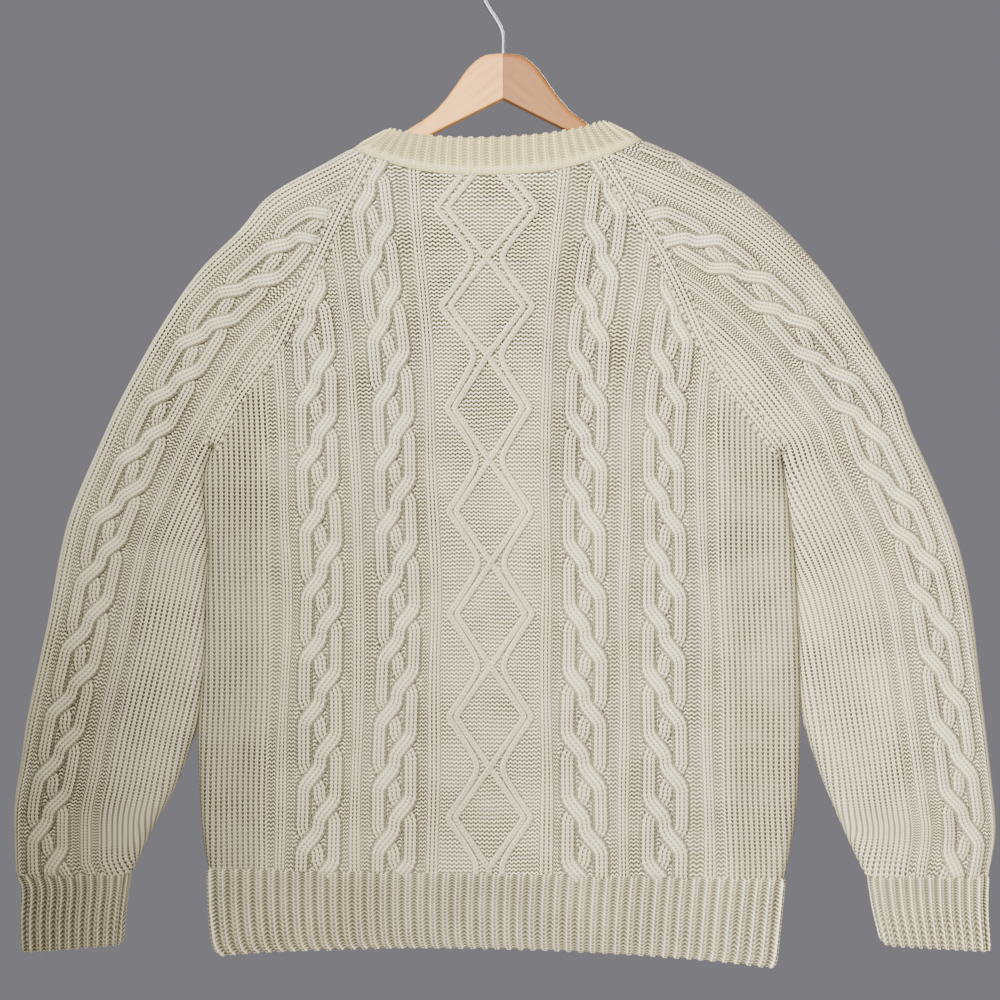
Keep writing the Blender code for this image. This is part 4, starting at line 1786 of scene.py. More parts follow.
    def below_top(self, points: Array) -> Array:
        """How far each point lies below the panel's upper edge.

        Args:
            points: x and z of each point.

        Returns:
            The distances, below 0 above the edge.
        """
        line = self.top_line()
        below = np.interp(points[:, 0], line[:, 0], line[:, 1]) - points[:, 1]
        return np.sign(below) * nearest_on(points, line).distance

    def beside_raglan(self, points: Array) -> Array:
        """How far each point lies inside the panel's nearer raglan seam.

        Args:
            points: x and z of each point.

        Returns:
            The distances, and 0 outside the panel.
        """
        lines = [raglan_seam(side, self.layer) for side in Side]
        distance = np.minimum(*(nearest_on(points, line).distance for line in lines))
        return np.where(self.below_top(points) > 0, distance, 0.0)

    def above_hem(self, points: Array) -> Array:
        """How far each point lies above the hem rib.

        Args:
            points: x and z of each point.

        Returns:
            The heights above it.
        """
        top = HEM_RIB[0]
        line = np.interp(points[:, 0], [top.left_x * MM, top.right_x * MM],
                         [top.left_z * MM, top.right_z * MM])
        return points[:, 1] - line

    def ground(self) -> Ground:
        """The cloth that the panel's raised stitches lie on."""

        def cover(points: Array) -> Array:
            """How much of a strand shows beside the seams and above the hem rib."""
            top = smooth_step(self.beside_raglan(points), *SEAM_COVER)
            neck = neck_seam(points[:, 0], self.layer) - points[:, 1]
            top = top * smooth_step(neck, -0.0015, 0.0015)
            return top * smooth_step(self.above_hem(points), *RIB_COVER)

        return Ground(self.layout.drape, flat_chart(self.layer), cover)

    def shown(self, line: Array, reach: float) -> Array:
        """Which points of a strand's line are needed, with a little to spare under the bands."""
        return (self.below_top(line) > -reach) & (self.above_hem(line) > RIB_COVER[0])

    def cable(self, side: Side, index: int, cable: Cable) -> bpy.types.Object:
        """One plaited cable of the panel.

        Args:
            side: Which half it lies in.
            index: 0 for the inner cable, 1 for the outer one.
            cable: Its plait.

        Returns:
            The cable.
        """
        band = (FIRST_CABLE, SECOND_CABLE)[index]
        z = np.arange(-0.14, -0.816, -STRAND_STEP)
        borders = self.layout.borders(side, z)
        start, end = borders[:, band], borders[:, band + 1]
        plait = plaited(cable, -z, (start + end) / 2, np.abs(end - start) / 3, self.ground(),
                        lambda x: np.stack([x, z], axis=1), lambda line: self.shown(line, 0.003))
        name = f"{self.layer.word}_cable_{side.word}_{index + 1}"
        return raised_piece(name, plait, self.finish)

    def diamonds(self) -> bpy.types.Object:
        """The travelling stitches of the diamond panel."""
        z = np.arange(-0.15, -0.812, -STRAND_STEP)
        middle = self.layout.middle(z)
        inner = DIAMONDS.inner(z)
        outer = DIAMONDS.outer(z, inner)
        near = np.abs(inner) / 0.012
        raised = 0.0008 * (1 - smooth_step(near, 0, 1))
        patches = []
        for offset, lift in ((inner, raised), (-inner, -raised), (outer, 0 * z), (-outer, 0 * z)):
            centre = np.stack([middle + offset, z], axis=1)
            kept = self.shown(centre, 0.0012)
            strand = Strand(centre[kept], np.full(kept.sum(), DIAMONDS.width), lift[kept],
                            DIAMONDS.profile)
            patches.append(strand.patch(self.ground()))
        return raised_piece(self.layer.word + "_diamonds", joined(patches), self.finish)

    def sink_towards_seams(self, grid: Grid) -> None:
        """Flattens the relief beside the raglan seams.

        Args:
            grid: The panel's grid, which is changed.
        """
        points = grid.points.reshape(-1, 2)
        seams = [raglan_seam(side, self.layer) for side in Side]
        distance = np.minimum(*(nearest_on(points, seam).distance for seam in seams))
        share = smooth_step(distance, *SEAM_RELIEF)
        share = share * smooth_step(self.above_hem(points), 0.0002, 0.005)
        grid.height = grid.height * share.reshape(grid.height.shape)


@dataclass(frozen=True)
class RaglanBand:
    """The four wales that run along a raglan seam, over both of its sides.

    Attributes:
        side: Which shoulder it is on.
        layer: Which layer it is on.
        width: How wide it is.
        profile: Its cross section.
        hole_step: How many courses apart the open stitches of the shaping lie.
    """

    side: Side
    layer: Layer
    width: float = 0.0162
    profile: Profile = Profile(0.0013, 0.0008, 5.0, 17, 4, 0.35, 0.12, 0.0003, calm=0.0)
    hole_step: float = 2.3

    def build(self, drape: Drape, finish: bpy.types.Material) -> bpy.types.Object:
        """The band.

        Args:
            drape: Where the cloth lies.
            finish: Its material.

        Returns:
            The band.
        """
        line = evened(raglan_seam(self.side, self.layer), 0.0012)

        def cover(points: Array) -> Array:
            """How much of the band shows below the neck seam and above the underarm."""
            seam = neck_seam(points[:, 0], self.layer)
            corner = line[-1]
            top = smooth_step(seam - points[:, 1], 0.0, 0.004)
            return top * smooth_step(np.hypot(*(points - corner).T), 0.0, 0.008)

        line = line[(neck_seam(line[:, 0], self.layer) - line[:, 1]) > -0.0005]
        strand = Strand(line, np.full(len(line), self.width), np.zeros(len(line)), self.profile,
                        0.0, self.hole_step, RIB_SHIFT)
        patch = strand.patch(Ground(drape, flat_chart(self.layer), cover))
        return raised_piece(f"{self.layer.word}_raglan_{self.side.word}", patch, finish)


class SleeveBand(NamedTuple):
    """One band of a sleeve's stitches, outwards from its middle band."""

    knit: Knit
    wales: int
    width: float


SLEEVE_BANDS = (
    SleeveBand(Knit.PURL, 2, 0.0048),
    SleeveBand(Knit.BED, 9, 0.0414),
    SleeveBand(Knit.PURL, 2, 0.0081),
    SleeveBand(Knit.RIB, 3, 0.0103),
    SleeveBand(Knit.PURL, 2, 0.0068),
)


LEFT_GAP_HEIGHTS = (-165.0, -253.0, -296.0, -386.0, -521.0, -604.0, -674.0, -729.0, -803.0)
LEFT_GAP_INSIDE = (24.0, 17.5, 13.5, 13.5, 14.5, 12.5, 11.5, 9.0, 7.2)
LEFT_MIDDLE_WIDTH = (34.0, 23.0, 18.0, 18.0, 18.0, 18.0, 18.0, 18.0, 18.0)
RIGHT_GAP_HEIGHTS = (-165.0, -300.5, -375.0, -510.0, -584.0, -669.5, -736.0, -803.0)
RIGHT_GAP_INSIDE = (42.3, 26.1, 17.1, 14.4, 12.0, 8.5, 7.0, 4.5)
RIGHT_MIDDLE_WIDTH = (22.0, 19.0, 18.0, 18.0, 18.0, 18.0, 18.0, 18.0)


@dataclass
class SleeveLayout:
    """Where the wales of one sleeve lie.

    Attributes:
        side: Which sleeve it is.
        rows: The sleeve's table.
        cuff_rows: Its cuff's table.
        gap_heights: Heights down the sleeve, in millimetres.
        gap_inside: How far inside the fold the first purl gap lies at each of them.
        middle_width: How wide the plain middle band is there.
        over_top: How far the fold's line goes on above its first point.
        past_end: How far it goes on below the cuff.
        fold: The line of the fold.
        underarm: The line of the fold on the other side, below the armhole.
        inwards: The way in from the fold at each of its points.
        along: How far along the sleeve each of them lies.
        drape: Where its cloth lies in space.
        span_at: Places along the sleeve at which its width is known.
        spans: Its width there.
        corner: How far along the sleeve the armhole ends.
    """

    side: Side
    rows: tuple[SleeveRow, ...]
    cuff_rows: tuple[SleeveRow, ...]
    gap_heights: tuple[float, ...]
    gap_inside: tuple[float, ...]
    middle_width: tuple[float, ...]
    over_top: float = 0.075
    past_end: float = 0.02
    fold: Array = field(init=False)
    underarm: Array = field(init=False)
    inwards: Array = field(init=False)
    along: Array = field(init=False)
    drape: Drape = field(init=False)
    span_at: Array = field(init=False)
    spans: Array = field(init=False)
    corner: float = field(init=False)

    def __post_init__(self) -> None:
        """Works out the fold, the underarm and the way in from the fold."""
        sleeve = curved(self.rows, SLEEVE_STEPS)
        cuff = curved(self.cuff_rows, RIB_STEPS)
        sign = self.side.value
        fold = evened(np.vstack([sleeve[:, :2], cuff[1:, :2]]), FOLD_STEP)
        way = unit(np.gradient(fold, axis=0))
        outwards = sign * np.stack([-way[:, 1], way[:, 0]], axis=1)
        fold = fold - outwards * WALL / 2
        start = unit((fold[6] - fold[0])[None])[0]
        steps = np.arange(self.over_top, 0, -FOLD_STEP)
        fold = np.vstack([fold[0] - steps[:, None] * start, fold])
        end = unit((fold[-1] - fold[-5])[None])[0]
        fold = np.vstack([fold, fold[-1] + self.past_end * end])
        self.fold = evened(fold, FOLD_STEP)
        self.along = lengths(self.fold) - self.over_top
        way = unit(np.gradient(self.fold, axis=0))
        normal = -sign * np.stack([-way[:, 1], way[:, 0]], axis=1)
        padded = np.pad(normal, ((WAY_WINDOW, WAY_WINDOW), (0, 0)), mode="edge")
        kernel = np.hanning(2 * WAY_WINDOW + 1)
        kernel = kernel / kernel.sum()
        smoothed = [np.convolve(padded[:, axis], kernel, mode="valid") for axis in (0, 1)]
        self.inwards = unit(np.stack(smoothed, axis=1))
        whole = np.vstack([sleeve, cuff[1:]])
        low = whole[UNDERARM_ROW * SLEEVE_STEPS:]
        across = unit(low[:, :2] - low[:, 2:])
        underarm = low[:, 2:] + across * (WALL / 2 + UNDERARM_GAP - UNDERARM_OVERLAP)
        self.underarm = evened(underarm, FOLD_STEP)
        self.drape = Drape((Fold(self.fold, self.side), Fold(self.underarm, Side(-sign))))
        self.span_at = np.arange(-self.over_top, self.along[-1], 0.006)
        self.spans = self.span(self.span_at)
        self.corner = nearest_on(self.underarm[:1], self.fold).along[0] - self.over_top

    def outline(self, layer: Layer) -> Array:
        """The closed outline of one layer of the sleeve, well clear of its fold.

        Args:
            layer: Which layer.

        Returns:
            x and z of its corners.
        """
        sign = self.side.value
        raglan = raglan_seam(self.side, layer)[:-2] + np.array([sign * SEAM_GAP / 2, 0])
        neck_fold = np.array(BAND_SEAM[:2] if self.side is Side.LEFT else BAND_SEAM[2:]) * MM
        neck = neck_line(neck_fold[0], raglan[0, 0], layer, NECK_SEAM_GAP, NECK_POINTS // 2 + 1)
        last = self.rows[-1]
        seam_end = np.array([last.seam_x, last.seam_z]) * MM
        fold_end = np.array([last.fold_x, last.fold_z]) * MM
        underarm = self.underarm[self.underarm[:, 1] > seam_end[1] + 0.002]
        below = seam_end + np.array([sign * 0.0021, 0])
        far = fold_end + (fold_end - seam_end) * 0.5
        beyond = neck_fold + np.array([sign * 0.06, 0.12])
        side = np.array([[far[0] + sign * 0.08, far[1]], [far[0] + sign * 0.08, beyond[1]]])
        return np.vstack([neck, raglan[1:], underarm, below[None], fold_end[None], far[None],
                          side, beyond[None]])

    def span(self, along: Array) -> Array:
        """How far it is from the fold to the underarm at places along the sleeve.

        Args:
            along: The places.

        Returns:
            The distance at each of them.
        """
        foot = self.on_fold(along)
        way = self.way_in(along)
        spans = []
        for point, direction in zip(foot, way):
            start = self.underarm[:-1] - point
            step = self.underarm[1:] - self.underarm[:-1]
            cross = direction[0] * step[:, 1] - direction[1] * step[:, 0]
            cross = np.where(np.abs(cross) < 1e-12, 1e-12, cross)
            reach = (start[:, 0] * step[:, 1] - start[:, 1] * step[:, 0]) / cross
            share = (start[:, 0] * direction[1] - start[:, 1] * direction[0]) / cross
            hit = (share >= 0) & (share <= 1) & (reach > 0)
            spans.append(reach[hit].min() if hit.any() else np.nan)
        spans = np.array(spans)
        known = ~np.isnan(spans)
        return np.interp(along, along[known], spans[known])

    def on_fold(self, along: Array) -> Array:
        """Points of the fold."""
        return np.stack([np.interp(along, self.along, self.fold[:, axis]) for axis in (0, 1)], -1)

    def way_in(self, along: Array) -> Array:
        """The way in from the fold."""
        ways = [np.interp(along, self.along, self.inwards[:, axis]) for axis in (0, 1)]
        return unit(np.stack(ways, axis=-1))

    def chart(self, places: Array) -> tuple[Array, Array]:
        """Turns places in the flat cut into x, z and the layer.

        Args:
            places: How far round from the fold, to the back, and how far along the sleeve.

        Returns:
            x and z, and the sign of the layer.
        """
        arc, along = np.abs(places[:, 0]), places[:, 1]
        span = np.interp(along, self.span_at, self.spans)
        left = span + 2 * FOLD_SURPLUS - arc
        rounded = np.where(left < math.pi / 2 * FOLD_REACH, span - inside_of(left), inside_of(arc))
        share = smooth_step(along, self.corner - 0.03, self.corner + 0.01)
        inside = inside_of(arc) * (1 - share) + rounded * share
        points = self.on_fold(along) + self.way_in(along) * inside[:, None]
        return points, np.where(places[:, 0] < 0, 1.0, -1.0)

    def first_gap(self, along: Array) -> tuple[Array, Array]:
        """Where the first purl gap of the back lies, and how wide the middle band is.

        Args:
            along: Places along the sleeve.

        Returns:
            How far round from the fold the gap's middle is, and the width.
        """
        z = self.on_fold(along)[:, 1]
        heights = -np.array(self.gap_heights) * MM
        inside = np.interp(-z, heights, np.array(self.gap_inside) * MM)
        width = np.interp(-z, heights, np.array(self.middle_width) * MM)
        return arc_of(inside), width

    def borders(self, along: Array) -> Array:
        """How far round from the fold each border lies, from the front's last to the back's.

        Args:
            along: Places along the sleeve.

        Returns:
            Distances by place and border.
        """
        gap, width = self.first_gap(along)
        half = SLEEVE_BANDS[0].width / 2
        steps = np.cumsum([0.0] + [band.width for band in SLEEVE_BANDS])
        back = (gap - half)[:, None] + steps[None]
        front = (gap - half - width)[:, None] - steps[None]
        return np.hstack([front[:, ::-1], back])


@dataclass
class Sleeve:
    """One sleeve with its two cables.

    Attributes:
        layout: Where its wales lie.
        cable_start: Where a crossing of its back cable lies along it.
        period: The length of one repeat of its cables.
        finish: Its material.
        side_wales: How many plain wales lie beyond its last band.
        row_step: How many courses each row of faces spans.
    """

    layout: SleeveLayout
    cable_start: float
    period: float
    finish: bpy.types.Material
    side_wales: int = 21
    row_step: int = 2

    @property
    def name(self) -> str:
        """The name of its solid."""
        return "sleeve_" + self.layout.side.word

    def grid(self) -> Grid:
        """The sleeve's outer face, overshooting its outlines."""
        layout = self.layout
        first = math.ceil(-layout.over_top / COURSE) + 1
        last = math.floor((layout.along[-1] - 0.002) / COURSE)
        courses = np.arange(first, last, self.row_step).astype(float)
        along = courses * COURSE
        borders = layout.borders(along)
        places, heights, starts, ends, purls = self.columns(borders)
        rows, columns = places.shape
        flat = np.stack([places, np.broadcast_to(along[:, None], places.shape)], axis=2)
        points, side = layout.chart(flat.reshape(-1, 2))
        # The stitches lose most of their painted shade and relief near the fold
        calm = 1.2 * (1 - smooth_step(nearest_on(points, layout.fold).distance, 0.001, 0.006))
        # Painted shade in sunken purl
        shade = np.broadcast_to(sunk_shade(heights), places.shape)
        return Grid(points.reshape(rows, columns, 2), side.reshape(rows, columns).astype(int),
                    heights, courses[:, None], starts, ends, purls, shade,
                    calm.reshape(rows, columns)[1:, 1:])

    def columns(self, borders: Array) -> tuple[Array, Array, Array, Array, Array]:
        """The columns of points round the sleeve.

        Args:
            borders: Where the borders between its bands lie, row by row.

        Returns:
            Places round the sleeve by row and column, heights, first and last wale of each
            column of faces, and purl.
        """
        back = [(band.knit, band.wales) for band in SLEEVE_BANDS]
        kinds = back[::-1] + [(Knit.STOCKING, 4)] + back
        plain = self.side_wales * WALE
        left = borders[:, :1] - plain
        right = borders[:, -1:] + plain
        edges = np.hstack([left, borders, right])
        kinds = [(Knit.STOCKING, self.side_wales)] + kinds + [(Knit.STOCKING, self.side_wales)]
        places = [edges[:, :1]]
        heights = [np.array([0.0])]
        starts, ends, purls = [], [], []
        for index, (knit, wales) in enumerate(kinds):
            shares, relief = relief_across(knit, wales)
            width = edges[:, index + 1:index + 2] - edges[:, index:index + 1]
            places.append(edges[:, index:index + 1] + width * shares[None, 1:])
            heights.append(relief[1:])
            wale = np.broadcast_to(shares * wales, (len(edges), len(shares)))
            if knit is Knit.RIB:
                wale = wale + RIB_SHIFT
            if knit is Knit.STOCKING:
                pitch = WALE if wales == self.side_wales else FINE_WALE
                wale = (shares[None] - 1) * width / pitch
            starts.append(wale[:, :-1])
            ends.append(wale[:, 1:])
            purls.append(np.full(len(shares) - 1, float(knit not in (Knit.RIB, Knit.STOCKING))))
        return (np.hstack(places), np.concatenate(heights), np.hstack(starts),
                np.hstack(ends), np.concatenate(purls))

    def ground(self) -> Ground:
        """The cloth that the sleeve's raised stitches lie on."""
        layout = self.layout
        last = layout.rows[-1]
        end_x = sorted((last.fold_x * MM, last.seam_x * MM))
        ends = sorted(((last.fold_x, last.fold_z * MM), (last.seam_x, last.seam_z * MM)))
        end_z = [z for _, z in ends]

        def cover(points: Array) -> Array:
            """How much of a strand shows beside the seams, at the fold and above the cuff."""
            share = np.ones(len(points))
            for layer in Layer:
                seam = raglan_seam(layout.side, layer)
                near = nearest_on(points, seam).distance
                low = points[:, 1] < seam[-1, 1]
                inside = inside_outline(points, layout.outline(layer)) | low
                distance = np.where(inside, near, -near)
                share = np.minimum(share, smooth_step(distance, *SEAM_COVER))
            above = points[:, 1] - np.interp(points[:, 0], end_x, end_z)
            at_fold = nearest_on(points, layout.fold).distance
            share = share * (0.05 + 0.95 * smooth_step(at_fold, 0.002, 0.015))
            return share * smooth_step(above, *RIB_COVER)

        return Ground(layout.drape, layout.chart, cover)

    def cable(self, layer: Layer) -> bpy.types.Object:
        """The cable on one layer of the sleeve.

        Args:
            layer: Which layer.

        Returns:
            The cable.
        """
        layout = self.layout
        along = np.arange(-0.03, layout.along[-1] - 0.012, STRAND_STEP)
        borders = layout.borders(along)
        count = len(SLEEVE_BANDS) + 1
        if layer is Layer.BACK:
            start, end = borders[:, count + 1], borders[:, count + 2]
        else:
            start, end = borders[:, count - 3], borders[:, count - 2]
        last = layout.rows[-1]
        slope = (last.seam_z - last.fold_z) / (last.seam_x - last.fold_x)

        def shown(line: Array) -> Array:
            """Which points of a strand lie on the sleeve, above its cuff."""
            points, _ = layout.chart(line)
            end_z = last.fold_z * MM + (points[:, 0] - last.fold_x * MM) * slope
            lifted = points + np.array([0, 0.0045]) * (points[:, 1:] < end_z[:, None] + 0.004)
            inside = inside_outline(lifted, layout.outline(layer))
            return inside & (points[:, 1] > end_z + RIB_COVER[0])

        cable = Cable(self.period, self.cable_start, layer is Layer.FRONT)
        plait = plaited(cable, along, (start + end) / 2, (end - start) / 3, self.ground(),
                        lambda across: np.stack([across, along], axis=1), shown)
        return raised_piece(f"{layer.word}_sleeve_cable_{layout.side.word}", plait, self.finish)

    def build(self) -> None:
        """Adds the sleeve's pieces."""
        grid = self.grid()
        kept = grid.trimmed({layer: self.layout.outline(layer) for layer in Layer})
        for layer in Layer:
            points = grid.points.reshape(-1, 2)
            distance = nearest_on(points, raglan_seam(self.layout.side, layer)).distance
            share = smooth_step(distance, *SEAM_RELIEF).reshape(grid.height.shape)
            grid.height = np.where(grid.side == layer.value, grid.height * share, grid.height)
        sheet = cloth_piece(self.name, grid.shell(self.layout.drape, kept), self.finish)
        trims = [self.cable(layer) for layer in Layer]
        rows = table_of(self.layout.rows)
        length = float(lengths(rows[:, :2])[-1])
        width = 2 * float(np.hypot(*(rows[:, :2] - rows[:, 2:]).T).max()) + 4 * FOLD_SURPLUS
        hung_sheet(sheet, width, length, HANGER_ARMS)


@dataclass(frozen=True)
class RibStitch:
    """One by one rib: a raised knit wale and a sunken purl wale by turns.

    Attributes:
        pitch: How far one knit wale lies from the next.
        peak: How far the knit wales stand out.
        valley: How far the purl wales sink in.
        columns: How many columns of faces one pitch has.
        lip: How far the knit wales reach past the free edge.
        course: The height of one row of its stitches.
        calm: How far the painted shade and relief of its stitches are weakened.
        valley_shade: How dark the painted shade in the sunken purl wales is.
    """

    pitch: float
    peak: float
    valley: float
    columns: int = 8
    lip: float = 0.0011
    course: float = 0.0033
    calm: float = 0.15
    valley_shade: float = 0.72

    def count(self, length: float) -> int:
        """How many ribs fit a length."""
        return max(int(round(length / self.pitch)), 1)

    def heights(self, ribs: int) -> Array:
        """How high each column of points stands, over a number of ribs.

        Args:
            ribs: How many ribs there are.

        Returns:
            The heights.
        """
        shares = np.arange(ribs * self.columns + 1) / self.columns
        wave = (1 - np.cos(2 * math.pi * shares)) / 2
        flat = smooth_step(wave, 0.3, 0.74)
        crease = 0.22 * np.exp(-((np.mod(shares, 1) - 0.5) / 0.05) ** 2)
        return self.valley + (self.peak - self.valley) * (flat - crease)

    def lips(self, ribs: int, share: Array) -> Array:
        """How far each point reaches past the free edge, by its row's share of the way there."""
        return self.lip * smooth_step(self.heights(ribs), 0.0, self.peak) * share[:, None] ** 8

    def wales(self, ribs: int) -> tuple[Array, Array, Array]:
        """The wale at both edges of each column of faces, and its purl.

        Args:
            ribs: How many ribs there are.

        Returns:
            The wales at the left and the right edges, and how much of each column is purl.
        """
        half = self.columns // 2
        column = np.arange(ribs * self.columns)
        turned = np.mod(column + half // 2, self.columns)
        purl = (turned < half).astype(float)
        start = np.mod(turned, half) / half
        return start, start + 1 / half, purl


@dataclass
class RibBand:
    """A ribbed band between two edges, as one closed wall.

    Attributes:
        name: The name of the solid that it stands for.
        stitch: Its rib.
        finish: Its material.
        slot: Its material slot; not used.
        fade: Where its ribs begin to stand out, and where they do in full, from the seam.
        tuck: How far its first row lies under the cloth that it is sewn to.
        seam_shade: How dark the painted shadow along the seam is.
    """

    name: str
    stitch: RibStitch
    finish: bpy.types.Material
    slot: str = "cream_knit"
    fade: tuple[float, float] = (0.0, 0.004)
    tuck: float = 0.0007
    seam_shade: float = 0.0

    def sheet(self, points: Array, side: Array, drape: Drape, ribs: int, rows: Array,
              ring: bool, edge_at_end: bool) -> bpy.types.Object:
        """The band through its rows of points.

        Args:
            points: x and z, rows by columns.
            side: The sign of each point's layer.
            drape: Where the cloth lies.
            ribs: How many ribs it has.
            rows: How far down the band each row lies, from 0 to its length.
            ring: Whether it closes to a ring.
            edge_at_end: Whether its free edge is its last row, or its first.

        Returns:
            The band.
        """
        across = self.stitch.heights(ribs)
        free = rows[-1] - rows if edge_at_end else rows - rows[0]
        seam = rows - rows[0] if edge_at_end else rows[-1] - rows
        height = across * (0.55 + 0.45 * smooth_step(free, 0.0, 0.004))[:, None]
        start, end, purl = self.stitch.wales(ribs)
        flat = smooth_step(seam, *self.fade)
        height *= flat[:, None]
        height[0 if edge_at_end else -1] = -self.tuck
        # Painted shade in the sunken purl wales, and a painted shadow along the seam
        valley = np.clip(1 - (across - self.stitch.valley) / (0.7 * self.stitch.peak), 0, 1)
        shade = self.stitch.valley_shade * valley[None] * flat[:, None]
        shade = shade + self.seam_shade * (1 - smooth_step(seam, 0.0, 0.006))[:, None]
        calm = self.stitch.calm + (0.9 - self.stitch.calm) * (1 - flat[1:])
        grid = Grid(points, side.astype(int), height, (rows / self.stitch.course)[:, None],
                    start, end, purl, shade, calm[:, None])
        patch = grid.shell(drape, ring=ring, back_relief=0.55)
        return cloth_piece(self.name, patch, self.finish)


@dataclass
class HemRib:
    """The ribbed band below one panel.

    Attributes:
        layer: Which panel it is below.
        layout: Where the body's folds are.
        finish: Its material.
        stitch: Its rib.
        row_count: How many rows of points it has.
        length: How far down it reaches.
        bow: How far its lower edge rises in its middle.
        droop: How far its left corner hangs down.
        corner: How far its left and right lower corners round in.
    """

    layer: Layer
    layout: BodyLayout
    finish: bpy.types.Material
    stitch: RibStitch = RibStitch(0.0112, 0.0021, -0.0013)
    row_count: int = 18
    length: float = 0.078
    bow: float = 0.0125
    droop: float = 0.004
    corner: tuple[float, float] = (0.007, 0.003)

    def build(self) -> None:
        """Adds the band."""
        share_down = np.linspace(0, 1, self.row_count)
        rows = smooth_curve(table_of(HEM_RIB), share_down * (len(HEM_RIB) - 1))
        rows[0, [1, 3]] += SEAM_TUCK
        rows[:, 1] -= self.droop * share_down**2
        left = rows[:, 0] + WALL / 2 + self.corner[0] * share_down**12
        right = rows[:, 2] - WALL / 2 - self.corner[1] * share_down**12
        total = right - left + 2 * FOLD_SURPLUS
        ribs = self.stitch.count(float(total.mean()))
        shares = np.linspace(0, 1, ribs * self.stitch.columns + 1)
        arc = total[:, None] * shares[None]
        from_left = left[:, None] + inside_of(arc)
        from_right = right[:, None] - inside_of(total[:, None] - arc)
        x = np.where(shares[None] < 0.5, from_left, from_right)
        across = (x - left[:, None]) / (right - left)[:, None]
        z = rows[:, 1:2] + (rows[:, 3:4] - rows[:, 1:2]) * across
        z = z + self.bow * share_down[:, None] * np.sin(math.pi * across) ** 0.7
        z = z - self.stitch.lips(ribs, share_down)
        points = np.stack([x, z], axis=2)
        side = np.full(x.shape, self.layer.value)
        band = RibBand(self.layer.word + "_hem_rib", self.stitch, self.finish)
        piece = band.sheet(points, side, self.layout.drape, ribs, share_down * self.length, False,
                           True)
        hung_sheet(piece, float(total.mean()), self.length, (self.layer.word + "_panel",))


@dataclass
class Cuff:
    """The ribbed band at a sleeve's end.

    Attributes:
        layout: The sleeve that it ends.
        finish: Its material.
        stitch: Its rib.
        row_count: How many rows of points it has.
        length: How far down it reaches.
    """

    layout: SleeveLayout
    finish: bpy.types.Material
    stitch: RibStitch = RibStitch(0.0087, 0.0016, -0.0010)
    row_count: int = 16
    length: float = 0.068

    def build(self) -> None:
        """Adds the band."""
        word = self.layout.side.word
        share_down = np.linspace(0, 1, self.row_count)
        table = table_of(self.layout.cuff_rows)
        rows = smooth_curve(table, share_down * (len(table) - 1))
        rows[0, [1, 3]] += SEAM_TUCK
        across = unit(rows[:, 2:] - rows[:, :2])
        fold = rows[:, :2] + across * WALL / 2
        seam = rows[:, 2:] - across * (WALL / 2 + UNDERARM_GAP)
        span = np.hypot(*(seam - fold).T)
        total = 2 * (span + 2 * FOLD_SURPLUS)
        ribs = self.stitch.count(float(total.mean()))
        shares = np.linspace(0, 1, ribs * self.stitch.columns + 1)
        arc = total[:, None] * shares[None]
        half = total[:, None] / 2
        side = np.where(arc <= half, Layer.BACK.value, Layer.FRONT.value)
        arc = np.where(arc <= half, arc, 2 * half - arc)
        near = inside_of(arc)
        far = span[:, None] - inside_of(half - arc)
        inside = np.where(arc < half / 2, near, far)
        points = fold[:, None, :] + across[:, None, :] * inside[:, :, None]
        points[:, :, 1] -= self.stitch.lips(ribs, share_down)
        band = RibBand("cuff_" + word, self.stitch, self.finish)
        piece = band.sheet(points, side, self.layout.drape, ribs, share_down * self.length, True,
                           True)
        hung_sheet(piece, float(total.mean()), self.length, ("sleeve_" + word,))


